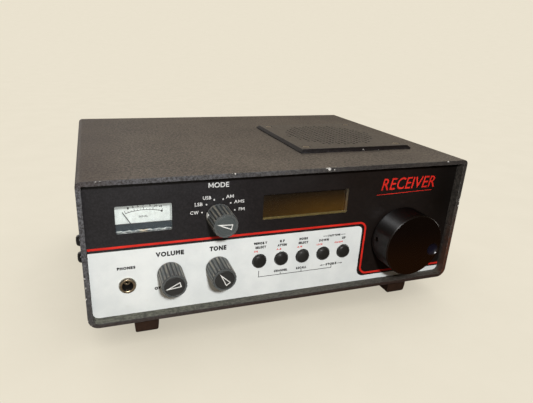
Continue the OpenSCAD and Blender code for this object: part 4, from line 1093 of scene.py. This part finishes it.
for i in range(6):
    seg += [[q] for q in digit(-13.0 + i * 7.4, 75.6, 8.6, 4.8, 0.85)]
seg += [[circle(8.2, 75.9, 0.5, 12)]]
loops_to_mesh("lcd_segments", seg, -80.09, -80.03, "lcd_ghost", "receiver", to_xz=lambda p: p)
loops_to_mesh("lcd_light_edge", [[rect(-19.3, 39.1, 71.62, 72.06)]], -82.3, -80.45, "lcd_edge", "receiver", to_xz=lambda p: p)

# ------------------------------------------------------------------ pointers on the knob caps
def pointer(name, body, angle):
    cx, cz = CENTRES[body]
    ca, sa = math.cos(math.radians(angle)), math.sin(math.radians(angle))

    def put(p):
        return (cx + p[0] * ca - p[1] * sa, cz + p[0] * sa + p[1] * ca)

    tip, base, half, w = 5.6, -3.7, 1.72, 0.5
    outer = [(tip, 0.0), (base, half), (base, -half)]
    # inward offset of the three sides by w
    dx, dy = base - tip, half
    L = math.hypot(dx, dy)
    nx, ny = dy / L, -dx / L
    slope = dy / dx
    off = w * math.sqrt(1 + slope * slope)
    tip_in = tip - off / abs(slope)
    bx = base + w
    hb = abs(slope) * (tip_in - bx)
    inner = [(tip_in, 0.0), (bx, hb), (bx, -hb)]
    return loops_to_mesh(name, [[outer, inner]], -83 - 17.22, -83 - 16.95, "pointer_white", body, to_xz=put)


pointer("volume_pointer", "volume", 197)
pointer("tone_pointer", "tone", 127)
pointer("mode_pointer", "mode", 167)

def lathe(name, centre, profile, seg, mat, body):
    """Closed ring turned about the axis along Y; profile points are (radius, distance in front of the film)."""
    vs, fs, n = [], [], len(profile)
    for i in range(seg):
        a = 2 * math.pi * i / seg
        for r, q in profile:
            vs.append(((centre[0] + r * math.cos(a)) * MM, (-83 - q) * MM, (centre[1] + r * math.sin(a)) * MM))
    for i in range(seg):
        k = (i + 1) % seg
        for j in range(n):
            m_ = (j + 1) % n
            fs.append((i * n + j, i * n + m_, k * n + m_, k * n + j))
    me = bpy.data.meshes.new(name)
    me.from_pydata(vs, [], fs)
    me.validate()
    me.update()
    me.materials.append(MATS[mat])
    ob = bpy.data.objects.new(name, me)
    scene.collection.objects.link(ob)
    bm = bmesh.new()
    bm.from_mesh(me)
    bmesh.ops.recalc_face_normals(bm, faces=bm.faces)
    bm.to_mesh(me)
    bm.free()
    for p in me.polygons:
        p.use_smooth = True
    me.set_sharp_from_angle(angle=math.radians(35))
    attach(ob, body)
    return ob


lathe("phones_ferrule", (-102.9, 37.7), [(3.3, 1.31), (3.3, 1.45), (3.55, 1.62), (3.75, 1.68), (4.05, 1.68), (4.35, 1.52), (4.42, 1.31)][::-1], 64,
      "bronze_ring", "receiver")
lathe("phones_contact", (-102.9, 37.7), [(0.8, -3.9), (1.1, -3.4), (1.7, -3.3), (2.1, -3.8), (2.1, -4.4), (1.6, -4.0), (1.2, -4.1), (0.8, -4.5)][::-1], 48,
      "bronze_ring", "receiver")

# painted index on the skirt of the mode knob
cx, cz = CENTRES["mode"]
pv, pf = [], []
A0, A1, NA = 157.0, 178.0, 8
for ring_r in (7.2, 7.88):
    for q in (0.95, 4.0):
        for i in range(NA + 1):
            a = math.radians(A0 + (A1 - A0) * i / NA)
            taper = 0.0 if q < 2 else 0.5 * abs(i - NA / 2) / (NA / 2)
            pv.append(((cx + ring_r * math.cos(a)) * MM, (-83 - q + taper) * MM, (cz + ring_r * math.sin(a)) * MM))
S = NA + 1
for i in range(NA):
    a = i
    # rows: 0 inner base, 1 inner tip, 2 outer base, 3 outer tip
    pf.append((a, a + 1, S + a + 1, S + a))
    pf.append((2 * S + a, 3 * S + a, 3 * S + a + 1, 2 * S + a + 1))
    pf.append((a, 2 * S + a, 2 * S + a + 1, a + 1))
    pf.append((S + a, S + a + 1, 3 * S + a + 1, 3 * S + a))
pf.append((0, S, 3 * S, 2 * S))
pf.append((NA, 2 * S + NA, 3 * S + NA, S + NA))
me = bpy.data.meshes.new("mode_index")
me.from_pydata(pv, [], pf)
me.materials.append(MATS["pointer_white"])
o = bpy.data.objects.new("mode_index", me)
scene.collection.objects.link(o)
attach(o, "mode")

# ------------------------------------------------------------------ rear legends
REAR = 88.5


def rear_place(u, v):
    return (-u, v)


def rear_words(items, extra=None):
    # seen from behind, +X runs to the left, so the artwork is mirrored and its front faces +Y
    return words("rear_legend", items, REAR + 0.035, REAR - 0.01, "ink_legend", bold=0.012, extra=extra, place=rear_place)


rear_words([("AERIAL", -93.0, -83.0, 48.0, 50.2), ("50 OHM", -92.6, -83.4, 44.6, 46.4),
            ("WIRE", -56.8, -50.2, 50.0, 51.8), ("EARTH", -42.6, -34.8, 50.0, 51.8),
            ("SPEAKER", -13.2, -2.8, 51.6, 53.2), ("RECORD", 5.4, 14.6, 51.6, 53.2), ("KEYPAD", 23.4, 32.6, 51.6, 53.2),
            ("12V DC", 87.4, 96.6, 49.4, 51.2), ("AERIAL INPUTS", -80.0, -47.0, 82.0, 84.4)])

# ------------------------------------------------------------------ camera
cam_data = bpy.data.cameras.new("camera")
cam_data.sensor_width = 36.0
cam_data.lens = 30.546
cam_data.shift_x = 0.0355
cam_data.shift_y = 0.0067
cam_data.clip_start = 0.01
cam_data.clip_end = 50
cam = bpy.data.objects.new("camera", cam_data)
scene.collection.objects.link(cam)
right = Vector((0.94767771, -0.31684156, 0.03896653))
down = Vector((-0.07627886, -0.3432805, -0.93613035))
fwd = Vector((0.30998145, 0.88417754, -0.34948759))
pos = Vector((-0.1149, -0.32522, 0.17804))
R = Matrix((right, -down, -fwd)).transposed()
cam.matrix_world = Matrix.Translation(pos) @ R.to_4x4()
scene.camera = cam

# ------------------------------------------------------------------ studio
CREAM = lin(234, 226, 207)
WALL, ROOM = 0.64, 0.13
world = bpy.data.worlds.new("studio")
scene.world = world
world.use_nodes = True
wt = world.node_tree
wt.nodes.clear()
wo = wt.nodes.new("ShaderNodeOutputWorld")
lp = wt.nodes.new("ShaderNodeLightPath")
tc = wt.nodes.new("ShaderNodeTexCoord")
sep = wt.nodes.new("ShaderNodeSeparateXYZ")
wt.links.new(tc.outputs["Generated"], sep.inputs[0])


def wramp(socket, lo, hi, a, b):
    n = wt.nodes.new("ShaderNodeMapRange")
    n.interpolation_type = "SMOOTHSTEP"
    n.inputs["From Min"].default_value = lo
    n.inputs["From Max"].default_value = hi
    n.inputs["To Min"].default_value = a
    n.inputs["To Max"].default_value = b
    wt.links.new(socket, n.inputs["Value"])
    return n.outputs["Result"]


def wmath(op, a, b):
    n = wt.nodes.new("ShaderNodeMath")
    n.operation = op
    for k, v in enumerate((a, b)):
        if isinstance(v, bpy.types.NodeSocket):
            wt.links.new(v, n.inputs[k])
        else:
            n.inputs[k].default_value = v
    return n.outputs[0]


# pale wall behind the set, dimmer room overhead and to the front
wall = wmath("MULTIPLY", wramp(sep.outputs[1], -0.1, 0.7, 0.0, WALL), wramp(sep.outputs[2], 0.85, 0.30, 0.12, 1.0))
room = wmath("MULTIPLY", wramp(sep.outputs[0], -0.7, 0.7, ROOM, ROOM * 0.6), 1.0)
wall = wmath("MULTIPLY", wall, wramp(sep.outputs[0], -0.15, 0.36, 0.90, 1.80))
wall = wmath("MULTIPLY", wall, wramp(sep.outputs[0], 0.45, 0.95, 1.0, 0.55))
amb_w = wt.nodes.new("ShaderNodeBackground")
amb_w.inputs["Color"].default_value = (1.0, 0.86, 0.68, 1)
wt.links.new(wall, amb_w.inputs["Strength"])
amb_r = wt.nodes.new("ShaderNodeBackground")
amb_r.inputs["Color"].default_value = (1.0, 0.66, 0.34, 1)
wt.links.new(room, amb_r.inputs["Strength"])
amb = wt.nodes.new("ShaderNodeAddShader")
wt.links.new(amb_w.outputs[0], amb.inputs[0])
wt.links.new(amb_r.outputs[0], amb.inputs[1])
bgc = wt.nodes.new("ShaderNodeBackground")
bgc.inputs["Color"].default_value = CREAM
bgc.inputs["Strength"].default_value = 1.0
mixw = wt.nodes.new("ShaderNodeMixShader")
wt.links.new(lp.outputs["Is Camera Ray"], mixw.inputs[0])
wt.links.new(amb.outputs[0], mixw.inputs[1])
wt.links.new(bgc.outputs[0], mixw.inputs[2])
wt.links.new(mixw.outputs[0], wo.inputs["Surface"])


def area(name, at, target, size, power, color, spread=180):
    d = bpy.data.lights.new(name, "AREA")
    d.shape = "DISK"
    d.size = size
    d.energy = power
    d.color = color
    d.spread = math.radians(spread)
    o = bpy.data.objects.new(name, d)
    scene.collection.objects.link(o)
    o.location = at
    v = Vector(target) - Vector(at)
    o.rotation_euler = v.to_track_quat("-Z", "Y").to_euler()
    o.visible_camera = False
    return o


area("light_front", (-0.10, -0.62, 0.40), (0.0, -0.05, 0.06), 0.06, 4.3, (0.97, 0.98, 1.0))
area("light_window", (-0.56, 0.86, 0.66), (0.0, 0.0, 0.06), 1.1, 4.6, (0.98, 0.98, 1.0))
area("light_right", (0.85, 0.30, 0.11), (0.12, 0.0, 0.06), 0.5, 1.6, (1.0, 0.95, 0.88))
area("light_soft", (-0.38, -0.75, 0.85), (0.0, -0.05, 0.05), 0.5, 0.9, (1.0, 0.92, 0.80))

# floor: a wide shallow dish so its rim never shows
fv, ff = [], []
RINGS, SEG = 24, 64
fv.append((0, 0, -0.0002))
for i in range(1, RINGS + 1):
    r = 0.02 * i * i * 0.9 + 0.05
    z = -0.0002 if r < 2.5 else -0.0002 + (r - 2.5) ** 2 * 0.03
    for k in range(SEG):
        a = 2 * math.pi * k / SEG
        fv.append((r * math.cos(a), r * math.sin(a), z))
for k in range(SEG):
    ff.append((0, 1 + k, 1 + (k + 1) % SEG))
for i in range(RINGS - 1):
    for k in range(SEG):
        a = 1 + i * SEG + k
        b = 1 + i * SEG + (k + 1) % SEG
        ff.append((a, a + SEG, b + SEG, b))
me = bpy.data.meshes.new("floor")
me.from_pydata(fv, [], ff)
for p in me.polygons:
    p.use_smooth = True
floor = bpy.data.objects.new("floor", me)
scene.collection.objects.link(floor)
g = Graph("floor_paper")
paper = g.noise(0.02, 4.0, 0.6)
dcol = g.mix(g.smooth(paper, 0.3, 0.7), lin(233, 225, 206), lin(235, 227, 208))
# painted contact shadow: ambient occlusion darkens the emissive floor near the object
ao = g.node("ShaderNodeAmbientOcclusion", None, {"Distance": 0.11})
ao.samples = 16
contact_shadow = g.smooth(ao.outputs["AO"], 0.0, 1.0, 0.62, 1.0)
look = g.node("ShaderNodeEmission", None, {"Color": dcol, "Strength": contact_shadow})
x, y, z = g.xyz()
lpn = g.node("ShaderNodeLightPath")
bounce = g.mix(g.smooth(x, -150.0, 130.0), lin(150, 144, 136), lin(48, 26, 8))
warm = g.node("ShaderNodeEmission", None, {"Color": bounce, "Strength": 1.0})
final = g.node("ShaderNodeMixShader", None, {0: lpn.outputs["Is Camera Ray"], 1: warm.outputs[0], 2: look.outputs[0]})
me.materials.append(g.end(final.outputs[0]))

scene.view_settings.view_transform = "Standard"
scene.view_settings.look = "None"
